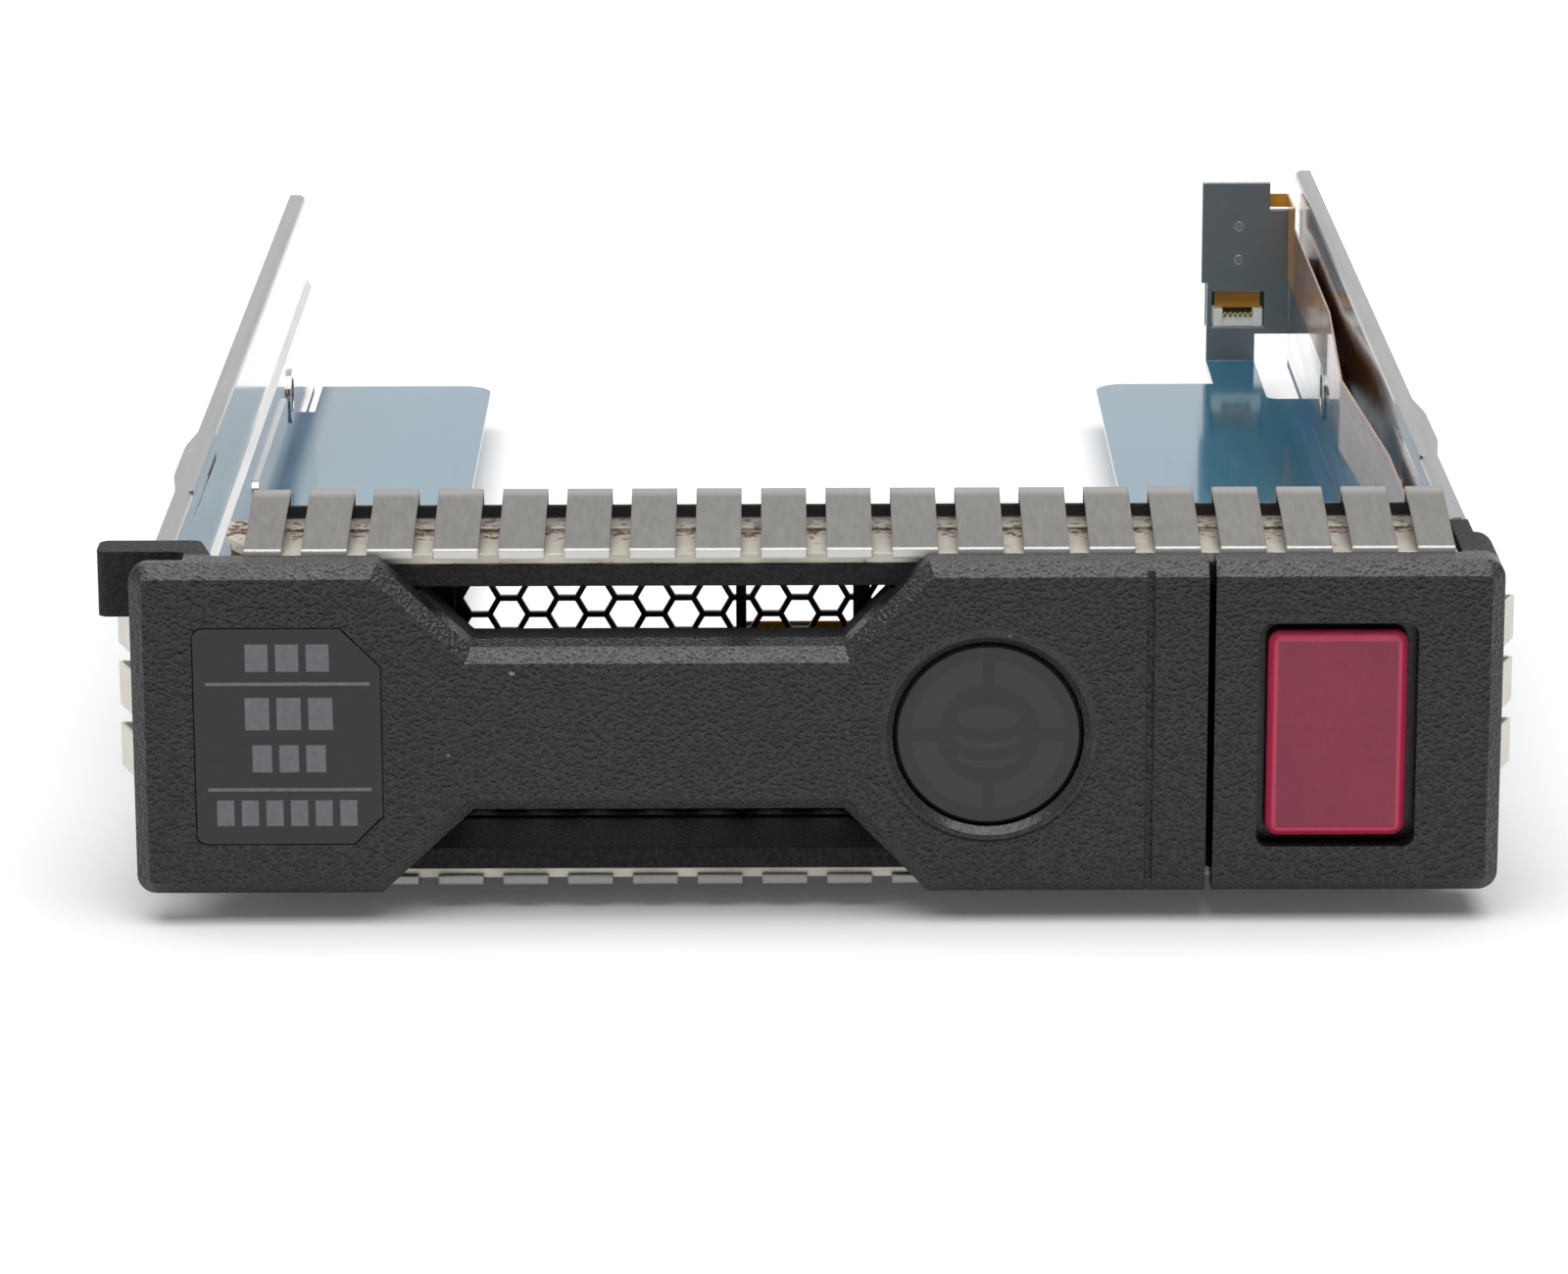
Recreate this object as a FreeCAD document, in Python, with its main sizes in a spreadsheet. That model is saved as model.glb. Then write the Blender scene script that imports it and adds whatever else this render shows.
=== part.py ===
import FreeCAD, Part
import math
import os

import Sketcher

# Carrier for one 3.5 inch hot-swap drive: two folded steel rails behind a moulded front with a swing
# lever, a release button and grounding springs on all four sides.
# Inside each piece X runs to the right, Y into the bay and Z up, from the middle of the front's lower
# edge. The whole tray is then set down with its origin under the middle of its outer box.

# Driving sizes in millimetres
driving = {
    # overall
    "bay_half": 51.2,  # half the width between the rails, for a drive 101.6 wide
    "bezel_overhang": 1.8,  # from the rails' inner faces to the front's ends
    "bezel_height": 26.6,
    "rail_end": 167.0,
    "sheet": 0.8,
    # moulded front
    "face_chamfer": 1.1,
    "corner_round": 1.5,
    "centre_drop": 0.5,  # lens and button lie this far below the middle
    # lever
    "block_width": 22.3,
    "lever_gap": 0.55,
    "lever_edge": 3.3,  # depth of the upper and lower edges, in front of the spring strips
    "lever_depth": 6.5,
    "lever_skin": 2.0,
    "lever_wall": 1.2,
    "core_inset": 3.0,  # the deep part lies this far inside the upper and lower edges
    "core_end": 3.2,
    "waist_half": 6.55,
    "head_left": 19.1,
    "slant_left": 7.2,
    "head_right": 21.55,
    "slant_right": 6.5,
    "groove_inset": 4.75,
    "groove_width": 0.6,
    "groove_depth": 0.4,
    "tongue_back": 9.8,
    "tongue_half": 3.5,
    "barb": 0.25,
    "barb_front": 7.6,
    # hook
    "hook_reach": 2.8,
    "hook_front": 4.6,
    "hook_back": 8.1,
    "hook_height": 5.2,
    "hook_round": 0.8,
    "slot_front": 2.0,
    "slot_inset": 4.1,
    "slot_relief": 0.3,
    "arm_toe": 0.6,  # the arm's slanted end, from the pin's axis to the right and to the left
    "arm_heel": 1.0,
    # pivot
    "pin_inset": 6.0,
    "pin_y": 4.2,
    "pin_radius": 1.5,
    "pin_play": 0.1,
    "pin_low": 3.2,
    "pin_drop": 3.2,
    "lug_radius": 2.6,
    "lug_thick": 1.8,
    "lug_low": 5.2,
    "lug_drop": 7.3,
    "lug_play": 0.25,
    "coil_drop": 2.2,
    "coil_wire": 0.3,
    "coil_play": 0.02,
    "coil_pitch": 1.1,
    "coil_turns": 3,
    # lens and lights
    "lens_inset": 16.9,
    "lens_radius": 7.3,
    "lens_play": 0.1,
    "lens_bevel": 0.6,
    "lens_recess": 0.6,
    "lens_thick": 2.0,
    "lens_ring": 0.9,
    "lens_ledge": 1.1,
    "lens_edge": 0.3,
    "guide_radius": 6.0,
    "guide_bore": 3.9,
    "guide_front": 7.0,
    "guide_play": 0.1,
    "board_half_width": 7.4,
    "board_half_height": 8.5,
    "board_thick": 1.0,
    "led_size": 1.6,
    "led_height": 0.6,
    "led_offset": 3.4,  # sideways and upward distance of each light from the lens axis
    # label
    "label_inset": 4.8,
    "label_width": 14.6,
    "label_low": 4.2,
    "label_drop": 4.9,
    "label_cut_high": 3.1,
    "label_cut_low": 2.3,
    "label_round": 0.8,
    "label_recess": 0.25,
    "label_thick": 0.2,
    "label_play": 0.1,
    # end block and button
    "block_skin": 2.2,
    "block_wall": 1.7,
    "cheek_width": 3.1,
    "cheek_depth": 8.0,
    "shoulder_depth": 9.5,
    "shoulder_gap": 0.3,
    "stem_width": 1.5,
    "button_offset": 12.8,
    "button_width": 10.8,
    "button_height": 16.5,
    "button_play": 0.75,
    "button_round": 1.0,
    "button_edge": 0.5,
    "button_inset": 0.35,
    "button_wall": 1.2,
    "button_depth": 6.0,
    "rim_width": 1.3,
    "rim_thick": 1.0,
    "rim_play": 0.05,
    "wedge_half": 3.0,
    "spring_boss": 1.7,
    "spring_boss_length": 2.5,
    "spring_radius": 2.2,
    "spring_wire": 0.25,
    "spring_turns": 4,
    # fixed moulding
    "base_front": 4.0,
    "base_back": 13.5,
    "base_wall": 1.7,
    "base_inset": 1.7,
    "lug_room": 0.5,
    "post_front": 7.0,
    "post_width": 1.6,
    "panel_thick": 1.5,
    "bracket_front": 9.3,
    "bracket_gap": 0.4,
    "window_reach_left": 1.8,  # the vents pass this far behind the lever's heads
    "window_reach_right": 0.7,
    "window_margin": 0.2,
    "rib_left_offset": 20.4,
    "rib_left_width": 0.8,
    "rib_right_offset": 0.85,
    "rib_right_width": 1.3,
    "boss_radius": 2.4,
    "boss_length": 3.5,
    "screw_left_offset": 10.0,
    "screw_right_offset": 3.7,
    "screw_low": 6.0,
    "screw_drop": 6.4,
    "screw_radius": 1.2,
    "screw_play": 0.1,
    "screw_head": 2.1,
    "screw_head_height": 1.0,
    # grille
    "grille_sheet": 0.5,
    "grille_edge": 1.0,
    "hex_flats": 2.25,
    "hex_pitch": 2.66,
    "hex_start_x": 1.9,
    "hex_start_z": 1.5,
    # steel channel
    "flange_front": 4.2,
    "flange_gap": 0.2,  # from the front's lower and upper edge to the steel
    "flange_inset_left": 5.0,
    "flange_inset_right": 1.6,
    "flange_cut_width": 3.2,
    "flange_cut_depth": 5.8,
    "ear_front": 9.3,  # ears at both ends, folded forward inside the rails
    "ear_low": 1.8,
    "ear_high": 6.0,
    "rivet_y": 11.6,
    "rivet_z": 3.9,
    "rivet_radius": 1.2,
    "rivet_head": 1.9,
    "rivet_head_height": 0.6,
    # spring strips
    "finger_sheet": 0.25,
    "finger_pitch": 5.08,
    "finger_width": 3.54,
    "end_finger_width": 2.9,
    "strip_inset_left": 1.9,
    "strip_inset_right": 0.2,
    "strip_foot": 11.5,
    "strip_rail": 1.3,
    "crest_rise": 2.65,
    "crest_blunt": 0.3,
    "lip_gap": 0.2,
    "lip_drop": 0.75,
    "side_front": 8.8,
    "side_back": 15.0,
    "side_foot": 11.0,
    "side_low": 6.4,
    "side_rise": 2.9,
    # rails
    "rail_bottom": 1.3,
    "rail_drop": 4.2,
    "rail_front": 9.0,
    "rail_step_front": 15.0,
    "rail_step_gap": 0.5,
    "joggle": 0.5,
    "joggle_drop": 0.5,
    "joggle_run": 0.8,
    "lip_width": 1.5,
    "floor_gap": 0.4,
    "floor_left_width": 18.5,
    "floor_right_width": 21.0,
    "floor_round": 3.0,
    "bend_round": 0.6,
    "relief_length": 11.5,
    "relief_width": 0.9,
    "bump_length": 21.0,
    "bump_out": 0.6,
    "bump_left": 41.0,
    "bump_right": 52.0,
    "slit_drop": 1.8,
    "slit_height": 0.8,
    "bead_first": 94.0,
    "bead_length": 35.0,
    "bead_width": 3.0,
    "bead_round": 1.2,
    "drive_front": 17.0,
    "drive_hole_rise": 6.35,
    "drive_hole_first": 16.9,
    "drive_hole_pitch": 101.6,
    "drive_hole_radius": 1.8,
    "dimple_radius": 2.7,
    "dimple_height": 0.3,
    # rear tab and contact board
    "foot_length": 10.8,
    "foot_gap_length": 7.0,
    "foot_gap_round": 1.2,
    "tab_width": 9.3,
    "tab_step": 0.6,
    "tab_step_z": 10.5,
    "tab_drop": 1.2,
    "port_inset_left": 8.2,
    "port_inset_right": 2.6,
    "port_low": 5.7,
    "port_high": 9.6,
    "corner_cut_width": 3.6,
    "corner_cut_high": 5.0,
    "notch_width": 2.2,
    "notch_depth": 2.9,
    "board_gap": 1.4,
    "board_inset_right": 2.4,
    "board_low": 5.4,
    "board_drop": 1.5,
    "pad_margin": 0.5,
    "pad_pitch": 1.1,
    "pad_width": 0.7,
    "pad_low": 7.0,
    "pad_height": 4.0,
    "pad_thick": 0.1,
    "board_rivet_low": 13.0,
    "board_rivet_pitch": 3.6,
    "board_rivet_radius": 0.5,
    "board_rivet_collar": 0.9,
    # flat cable
    "cable_thick": 0.2,
    "cable_low": 11.2,
    "cable_high": 17.8,
    "cable_length": 19.25,  # the free end, to the left of the lens
    "cable_wall_gap": 0.1,
    "cable_bow": 1.5,
    "cable_bow_front": 71.0,
    "cable_bow_length": 59.0,
    "cable_bend": 2.5,
    "cable_end_gap": 0.6,
    "neck_length": 6.0,
    "neck_height": 1.4,
    "tail_inset": 0.4,
    "collar_play": 0.2,
    "connector_inset": 0.2,
    "connector_low": 5.8,
    "connector_high": 7.6,
    "connector_gap": 0.1,
}

hair = 0.01  # keeps a whole number of repeats whole when its sizes are rounded


class Size:
    """A number and the sheet formula that gives it."""

    def __init__(self, value, text):
        self.value = value
        self.text = text

    def __add__(self, other):
        other = as_size(other)
        return Size(self.value + other.value, f"({self.text} + {other.text})")

    def __radd__(self, other):
        return as_size(other) + self

    def __sub__(self, other):
        other = as_size(other)
        return Size(self.value - other.value, f"({self.text} - {other.text})")

    def __rsub__(self, other):
        return as_size(other) - self

    def __mul__(self, other):
        other = as_size(other)
        return Size(self.value * other.value, f"({self.text} * {other.text})")

    def __rmul__(self, other):
        return as_size(other) * self

    def __truediv__(self, other):
        other = as_size(other)
        return Size(self.value / other.value, f"({self.text} / {other.text})")

    def __neg__(self):
        return Size(-self.value, f"(0 - {self.text})")

    def whole(self):
        return Size(math.floor(self.value + hair), f"floor({self.text} + {hair})")


def as_size(number):
    if isinstance(number, Size):
        return number
    return Size(float(number), repr(float(number)))


class Sheet:
    """The document's spreadsheet, read by alias, with the sizes that follow from it."""


doc = FreeCAD.newDocument("DriveTray")
sheet = doc.addObject("Spreadsheet::Sheet", "Sizes")
s = Sheet()
for line, (alias, number) in enumerate(driving.items(), 1):
    sheet.set(f"A{line}", alias)
    sheet.set(f"B{line}", str(number))
    sheet.setAlias(f"B{line}", alias)
    setattr(s, alias, Size(float(number), f"Sizes.{alias}"))
doc.recompute()

# Front and lever
s.bezel_half = s.bay_half + s.bezel_overhang
middle = s.bezel_height / 2
s.face_centre = middle - s.centre_drop
waist_low = middle - s.waist_half
waist_high = middle + s.waist_half
core_high = s.bezel_height - s.core_inset
block_left = s.bezel_half - s.block_width
s.lever_end = block_left - s.lever_gap
s.core_left = s.bezel_half - s.core_end
s.notch_left_out = s.bezel_half - s.head_left
s.notch_left_in = s.notch_left_out - s.slant_left
s.notch_right_out = s.lever_end - s.head_right
s.notch_right_in = s.notch_right_out - s.slant_right
s.groove_x = s.lever_end - s.groove_inset
s.lens_x = s.lever_end - s.lens_inset
s.lens_seat = s.lens_radius - s.lens_ledge
s.label_left = s.bezel_half - s.label_inset
s.label_right = s.label_left - s.label_width
s.label_high = s.bezel_height - s.label_drop
hook_low = s.bezel_height - s.hook_height
s.hook_tip = s.bezel_half + s.hook_reach
s.slot_end = s.bezel_half - s.slot_inset
s.pin_x = s.bezel_half - s.pin_inset
s.pin_high = s.bezel_height - s.pin_drop
s.lug_high = s.bezel_height - s.lug_drop
s.coil_low = middle - s.coil_drop

# Fixed moulding, button and grille
steel_low = s.flange_gap
steel_high = s.bezel_height - s.flange_gap
base_low = steel_low + s.sheet
base_high = steel_high - s.sheet
bay_low = base_low + s.base_wall
bay_high = base_high - s.base_wall
s.cheek_left = s.bezel_half - s.cheek_width
s.button_x = s.bezel_half - s.button_offset
s.base_left = s.pin_x - s.lug_radius - s.lug_room
s.base_right = s.bay_half - s.base_inset
s.bracket_high = hook_low - s.bracket_gap
s.rail_step_top = hook_low - s.rail_step_gap
shoulder_low = s.rail_step_top + s.shoulder_gap
window_low = bay_low + s.window_margin
window_high = bay_high - s.window_margin
s.window_left = s.notch_left_in + s.window_reach_left
s.window_right = s.notch_right_out + s.window_reach_right
s.rib_left = s.rib_left_offset - s.notch_left_in
s.rib_right = s.notch_right_in + s.rib_right_offset
s.screw_left = s.pin_x - s.screw_left_offset
s.screw_right = block_left - s.screw_right_offset
s.screw_high = s.bezel_height - s.screw_drop

# Channel and spring strips
web_front = s.base_back + s.grille_sheet
web_back = web_front + s.sheet
s.flange_left = s.bay_half - s.flange_inset_left
s.flange_right = s.bay_half - s.flange_inset_right
s.flange_corner_x = s.flange_left - s.flange_cut_width
s.flange_corner_y = s.flange_front + s.flange_cut_depth
s.strip_left = s.flange_left - s.strip_inset_left
s.strip_right = s.flange_right - s.strip_inset_right
finger_space = s.finger_pitch - s.finger_width
s.finger_first = s.end_finger_width + finger_space - s.strip_left
finger_run = s.strip_left + s.strip_right - 2 * s.end_finger_width - finger_space
s.finger_count = (finger_run / s.finger_pitch).whole()
bend_corner = s.finger_sheet * (math.sqrt(2) - 1)  # how far a bend of 45 degrees moves the inner corner

# Rails, tab and cable
floor_top = s.rail_bottom + s.sheet
upper_half = s.bay_half + s.joggle
side_seat = upper_half + s.sheet
s.side_count = ((s.rail_step_top - s.side_low - s.finger_width) / s.finger_pitch).whole() + 1
s.rail_top = s.bezel_height - s.rail_drop
s.joggle_z = middle - s.joggle_drop
s.floor_front = web_back + s.floor_gap
s.floor_left_edge = s.bay_half - s.floor_left_width
s.floor_right_edge = s.bay_half - s.floor_right_width
s.tab_front_y = s.rail_end + s.foot_length
tab_rear = s.tab_front_y + s.sheet
s.tab_left = s.bay_half - s.tab_width
s.tab_top = s.rail_top - s.tab_drop
tab_low_left = s.tab_left + s.tab_step
notch_floor = s.tab_top - s.notch_depth
s.port_left = s.bay_half - s.port_inset_left
s.port_right = s.bay_half - s.port_inset_right
s.corner_cut_left = s.bay_half - s.corner_cut_width
board_front = tab_rear + s.board_gap
board_rear = board_front + s.board_thick
s.board_right = s.bay_half - s.board_inset_right
s.board_high = s.tab_top - s.board_drop
s.pad_first = tab_low_left + s.pad_margin
pad_run = s.board_right - s.pad_margin - s.pad_width - s.pad_first
s.pad_count = (pad_run / s.pad_pitch).whole() + 1
s.cable_start = s.lens_x - s.cable_length
s.tail_left = s.port_left + s.tail_inset
s.tail_right = s.port_right - s.tail_inset
board_rivet_x = (s.tail_left + s.tail_right) / 2
s.connector_front = s.tab_front_y + s.connector_gap
tray_back = board_rear + s.pad_thick
far = s.bezel_height  # a length that passes right through any wall here

# The tray's own point that is set on the origin: under the middle of its outer box
datum_x = (side_seat + s.side_rise - s.hook_tip) / 2
datum_y = tray_back / 2
datum_z = steel_low - s.crest_rise

parts = []


def place(piece, x=0, y=0, z=0):
    """Sets a piece into the tray, at a point given from the middle of the front's lower edge."""
    spot = (x - datum_x, y - datum_y, z - datum_z)
    for axis, value in zip("xyz", spot):
        piece.setExpression(f"Placement.Base.{axis}", value.text)


def new_body(label, x=0, y=0, z=0):
    body = doc.addObject("PartDesign::Body", label)
    body.Label = label
    place(body, x, y, z)
    parts.append(body)
    return body


def origin_feature(body, role):
    return next(feature for feature in body.Origin.OriginFeatures if feature.Role == role)


def new_sketch(body, plane, level=0):
    """A sketch on one of the body's planes, moved along the axis that the plane faces."""
    sketch = body.newObject("Sketcher::SketchObject", f"{body.Label}_sketch")
    sketch.AttachmentSupport = (origin_feature(body, plane), [""])
    sketch.MapMode = "FlatFace"
    offset = -as_size(level) if plane == "XZ_Plane" else as_size(level)
    sketch.setExpression("AttachmentOffset.Base.z", offset.text)
    return sketch


def bind(sketch, kind, items, value):
    index = sketch.addConstraint(Sketcher.Constraint(kind, *items, value.value))
    sketch.setExpression(f"Constraints[{index}]", value.text)


def outline(sketch, points):
    """A closed outline through the points, each with an optional corner radius."""
    first = sketch.GeometryCount
    corners = [(as_size(point[0]), as_size(point[1])) for point in points]
    count = len(corners)
    spots = [FreeCAD.Vector(u.value, v.value, 0) for u, v in corners]
    for index in range(count):
        sketch.addGeometry(Part.LineSegment(spots[index], spots[(index + 1) % count]))
    for index in range(count):
        joined = first + (index + 1) % count
        sketch.addConstraint(Sketcher.Constraint("Coincident", first + index, 2, joined, 1))
    for index, (u, v) in enumerate(corners):
        bind(sketch, "DistanceX", (first + index, 1), u)
        bind(sketch, "DistanceY", (first + index, 1), v)
    for index, point in enumerate(points):
        if len(point) > 2:
            radius = as_size(point[2])
            arc = sketch.GeometryCount
            sketch.fillet(first + (index - 1) % count, 2, radius.value, True, True)
            bind(sketch, "Radius", (arc,), radius)


def box_outline(sketch, left, low, right, high, radius=None):
    corners = [(left, low), (right, low), (right, high), (left, high)]
    if radius is not None:
        corners = [(u, v, radius) for u, v in corners]
    outline(sketch, corners)


def circle(sketch, u, v, radius):
    u, v, radius = as_size(u), as_size(v), as_size(radius)
    centre = FreeCAD.Vector(u.value, v.value, 0)
    index = sketch.GeometryCount
    sketch.addGeometry(Part.Circle(centre, FreeCAD.Vector(0, 0, 1), radius.value))
    bind(sketch, "Radius", (index,), radius)
    bind(sketch, "DistanceX", (index, 3), u)
    bind(sketch, "DistanceY", (index, 3), v)


def faces_back(sketch):
    return sketch.AttachmentSupport[0][0].Role == "XZ_Plane"


def pad(body, sketch, length):
    """Adds material from the sketch along the positive axis."""
    feature = body.newObject("PartDesign::Pad", f"{body.Label}_pad")
    feature.Profile = sketch
    feature.setExpression("Length", as_size(length).text)
    feature.Reversed = faces_back(sketch)
    doc.recompute()
    return feature


def pocket(body, sketch, length):
    """Cuts from the sketch along the positive axis, and makes sure that something was cut."""
    before = body.Shape.Volume
    feature = body.newObject("PartDesign::Pocket", f"{body.Label}_pocket")
    feature.Profile = sketch
    feature.setExpression("Length", as_size(length).text)
    feature.Reversed = not faces_back(sketch)
    doc.recompute()
    if not body.Shape.Volume < before:
        raise RuntimeError(f"{feature.Name} cuts nothing")
    return feature


def row(body, originals, role, spacing, count, second=None):
    """Repeats features along one axis of the body, or along two."""
    pattern = body.newObject("PartDesign::LinearPattern", f"{body.Label}_row")
    pattern.Originals = originals
    pattern.Direction = (origin_feature(body, role), [""])
    pattern.Mode = "Spacing"
    pattern.setExpression("Offset", as_size(spacing).text)
    pattern.setExpression("Occurrences", as_size(count).text)
    if second is not None:
        second_role, second_spacing, second_count = second
        pattern.Direction2 = (origin_feature(body, second_role), [""])
        pattern.Mode2 = "Spacing"
        pattern.Spacings2 = [-1.0]  # every step as wide as the offset
        pattern.setExpression("Offset2", as_size(second_spacing).text)
        pattern.setExpression("Occurrences2", as_size(second_count).text)
    body.Tip = pattern
    doc.recompute()
    return pattern


def front_face(feature, depth):
    """The name of the largest flat face that lies across Y at this depth."""
    found = []
    for index, face in enumerate(feature.Shape.Faces, 1):
        box = face.BoundBox
        if box.YLength < 1e-6 and abs(box.YMin - depth.value) < 1e-6:
            found.append((face.Area, f"Face{index}"))
    return max(found)[1]


def dress(body, kind, base, names, size):
    feature = body.newObject(f"PartDesign::{kind}", f"{body.Label}_{kind.lower()}")
    feature.Base = (base, names)
    feature.setExpression("Radius" if kind == "Fillet" else "Size", as_size(size).text)
    doc.recompute()
    return feature


def edges(feature, wanted):
    """The names of the edges whose box passes the test."""
    boxes = enumerate((edge.BoundBox for edge in feature.Shape.Edges), 1)
    return [f"Edge{index}" for index, box in boxes if wanted(box)]


def rim_edges(feature, plain_end):
    """The edges of the front plane, without the one at the plain end."""

    def wanted(box):
        at_end = box.XLength < 1e-6 and abs(box.XMin - plain_end.value) < 1e-6
        return box.YLength < 1e-6 and abs(box.YMin) < 1e-6 and not at_end

    return edges(feature, wanted)


def lever_outline(sketch, inset, left, rounded):
    """The lever's dog-bone outline, its upper and lower edges moved in by the inset."""
    share = as_size(inset) / waist_low
    left_out = -s.notch_left_out + (s.notch_left_out - s.notch_left_in) * share
    right_out = s.notch_right_out - (s.notch_right_out - s.notch_right_in) * share
    low = as_size(inset)
    high = s.bezel_height - inset
    end = (s.corner_round,) if rounded else ()
    outline(sketch, [
        (-left, low, *end),
        (left_out, low),
        (-s.notch_left_in, waist_low),
        (s.notch_right_in, waist_low),
        (right_out, low),
        (s.lever_end, low),
        (s.lever_end, high),
        (right_out, high),
        (s.notch_right_in, waist_high),
        (-s.notch_left_in, waist_high),
        (left_out, high),
        (-left, high, *end),
    ])


def hollow_lever(body):
    """Three chambers open to the back, with a ring left standing round the lens."""
    low = s.core_inset + s.lever_wall
    high = core_high - s.lever_wall
    waist_floor = waist_low + s.lever_wall
    waist_roof = waist_high - s.lever_wall
    depth = s.lever_depth - s.lever_skin
    left_end = -s.pin_x + s.lug_radius + s.lug_play + s.lever_wall
    left_in = -s.notch_left_in - s.lever_wall
    left_turn = left_in - (waist_floor - low)
    right_in = s.notch_right_in + s.lever_wall
    right_turn = right_in + (waist_floor - low)
    right_end = s.lever_end - s.lever_wall
    chambers = new_sketch(body, "XZ_Plane", s.lever_skin)
    outline(chambers, [
        (left_end, low),
        (left_turn, low),
        (left_in, waist_floor),
        (left_in, waist_roof),
        (left_turn, high),
        (left_end, high),
    ])
    box_outline(chambers, -s.notch_left_in, waist_floor, s.notch_right_in, waist_roof)
    outline(chambers, [
        (right_in, waist_floor),
        (right_turn, low),
        (right_end, low),
        (right_end, high),
        (right_turn, high),
        (right_in, waist_roof),
    ])
    pocket(body, chambers, depth)
    ring = new_sketch(body, "XZ_Plane", s.lever_skin)
    circle(ring, s.lens_x, s.face_centre, s.lens_radius + s.lens_play + s.lens_ring)
    pad(body, ring, depth)


def lens_hole(body):
    """A stepped hole with a bevelled mouth that the lens is set into from the front."""
    mouth = new_sketch(body, "XZ_Plane")
    circle(mouth, s.lens_x, s.face_centre, s.lens_radius + s.lens_play)
    hole = pocket(body, mouth, s.lens_recess + s.lens_thick)
    reach = 2 * (s.lens_radius + s.lens_play)

    def is_mouth(box):
        return abs(box.YMax) < 1e-6 and abs(box.XLength - reach.value) < 1e-4

    dress(body, "Chamfer", hole, edges(hole, is_mouth), s.lens_bevel)
    seat = new_sketch(body, "XZ_Plane", s.lens_recess + s.lens_thick)
    circle(seat, s.lens_x, s.face_centre, s.lens_seat)
    pocket(body, seat, s.lever_depth)


def label_outline(sketch, inset):
    left = -s.label_left + inset
    right = -s.label_right - inset
    low = s.label_low + inset
    high = s.label_high - inset
    outline(sketch, [
        (left, low, s.label_round),
        (right - s.label_cut_low, low),
        (right, low + s.label_cut_low),
        (right, high - s.label_cut_high),
        (right - s.label_cut_high, high),
        (left, high, s.label_round),
    ])


def lever_hook(body):
    """The open slot at the upper left corner and the hooked arm behind it."""
    slot = new_sketch(body, "XY_Plane", hook_low - s.slot_relief)
    box_outline(slot, -s.hook_tip, s.slot_front, -s.slot_end, s.hook_front)
    pocket(body, slot, far)
    arm = new_sketch(body, "XY_Plane", hook_low)
    outline(arm, [
        (-s.hook_tip, s.hook_front, s.hook_round),
        (-s.slot_end, s.hook_front, s.hook_round),
        (-s.slot_end, s.slot_front),
        (s.arm_toe - s.pin_x, s.slot_front),
        (-s.pin_x - s.arm_heel, s.hook_back, s.hook_round),
        (-s.hook_tip, s.hook_back, s.hook_round),
    ])
    pad(body, arm, s.hook_height)


def lever_pivot(body):
    """Gaps for the two fixed lugs and the coil, and the bore for the pin."""
    right = -s.pin_x + s.lug_radius + s.lug_play
    front = s.pin_y - s.lug_radius - s.lug_play
    lug_gap = new_sketch(body, "XY_Plane", s.lug_low - s.lug_play)
    box_outline(lug_gap, -s.hook_tip, front, right, s.hook_back)
    gap = pocket(body, lug_gap, s.lug_thick + 2 * s.lug_play)
    row(body, [gap], "Z_Axis", s.lug_high - s.lug_low, 2)
    coil_gap = new_sketch(body, "XY_Plane", s.coil_low - s.lug_play)
    box_outline(coil_gap, -s.hook_tip, front, right, s.hook_back)
    pocket(body, coil_gap, s.coil_pitch * (s.coil_turns + 1) + 2 * s.lug_play)
    bore = new_sketch(body, "XY_Plane", s.pin_low - s.core_inset)
    circle(bore, -s.pin_x, s.pin_y, s.pin_radius + s.pin_play)
    pocket(body, bore, s.pin_high - s.pin_low + s.core_inset + s.pin_play)


def lever_tongue(body):
    """The snap tongue at the right end, with a small barb towards the end block."""
    tongue = new_sketch(body, "XY_Plane", s.face_centre - s.tongue_half)
    outline(tongue, [
        (s.lever_end - s.lever_wall, s.lever_edge),
        (s.lever_end, s.lever_edge),
        (s.lever_end, s.barb_front),
        (s.lever_end + s.barb, s.barb_front),
        (s.lever_end, s.tongue_back),
        (s.lever_end - s.lever_wall, s.tongue_back),
    ])
    pad(body, tongue, 2 * s.tongue_half)


def make_lever():
    body = new_body("lever")
    plate = new_sketch(body, "XZ_Plane")
    lever_outline(plate, 0, s.bezel_half, True)
    shell = pad(body, plate, s.lever_edge)
    dress(body, "Chamfer", shell, rim_edges(shell, s.lever_end), s.face_chamfer)
    core = new_sketch(body, "XZ_Plane", s.lever_edge)
    lever_outline(core, s.core_inset, s.core_left, False)
    pad(body, core, s.lever_depth - s.lever_edge)
    hollow_lever(body)
    lens_hole(body)
    recess = new_sketch(body, "XZ_Plane")
    label_outline(recess, 0)
    pocket(body, recess, s.label_recess)
    groove = new_sketch(body, "XZ_Plane")
    box_outline(groove, s.groove_x, 0, s.groove_x + s.groove_width, s.bezel_height)
    pocket(body, groove, s.groove_depth)
    lever_hook(body)
    lever_pivot(body)
    lever_tongue(body)


def make_lens():
    body = new_body("activity_lens")
    disc = new_sketch(body, "XZ_Plane", s.lens_recess)
    circle(disc, s.lens_x, s.face_centre, s.lens_radius)
    glass = pad(body, disc, s.lens_thick)
    dress(body, "Chamfer", glass, [front_face(glass, s.lens_recess)], s.lens_edge)


def make_label():
    body = new_body("label")
    film = new_sketch(body, "XZ_Plane", s.label_recess - s.label_thick)
    label_outline(film, s.label_play)
    pad(body, film, s.label_thick)


def centred_box(sketch, x, z, width, height, radius=None):
    box_outline(sketch, x - width / 2, z - height / 2, x + width / 2, z + height / 2, radius)


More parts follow.
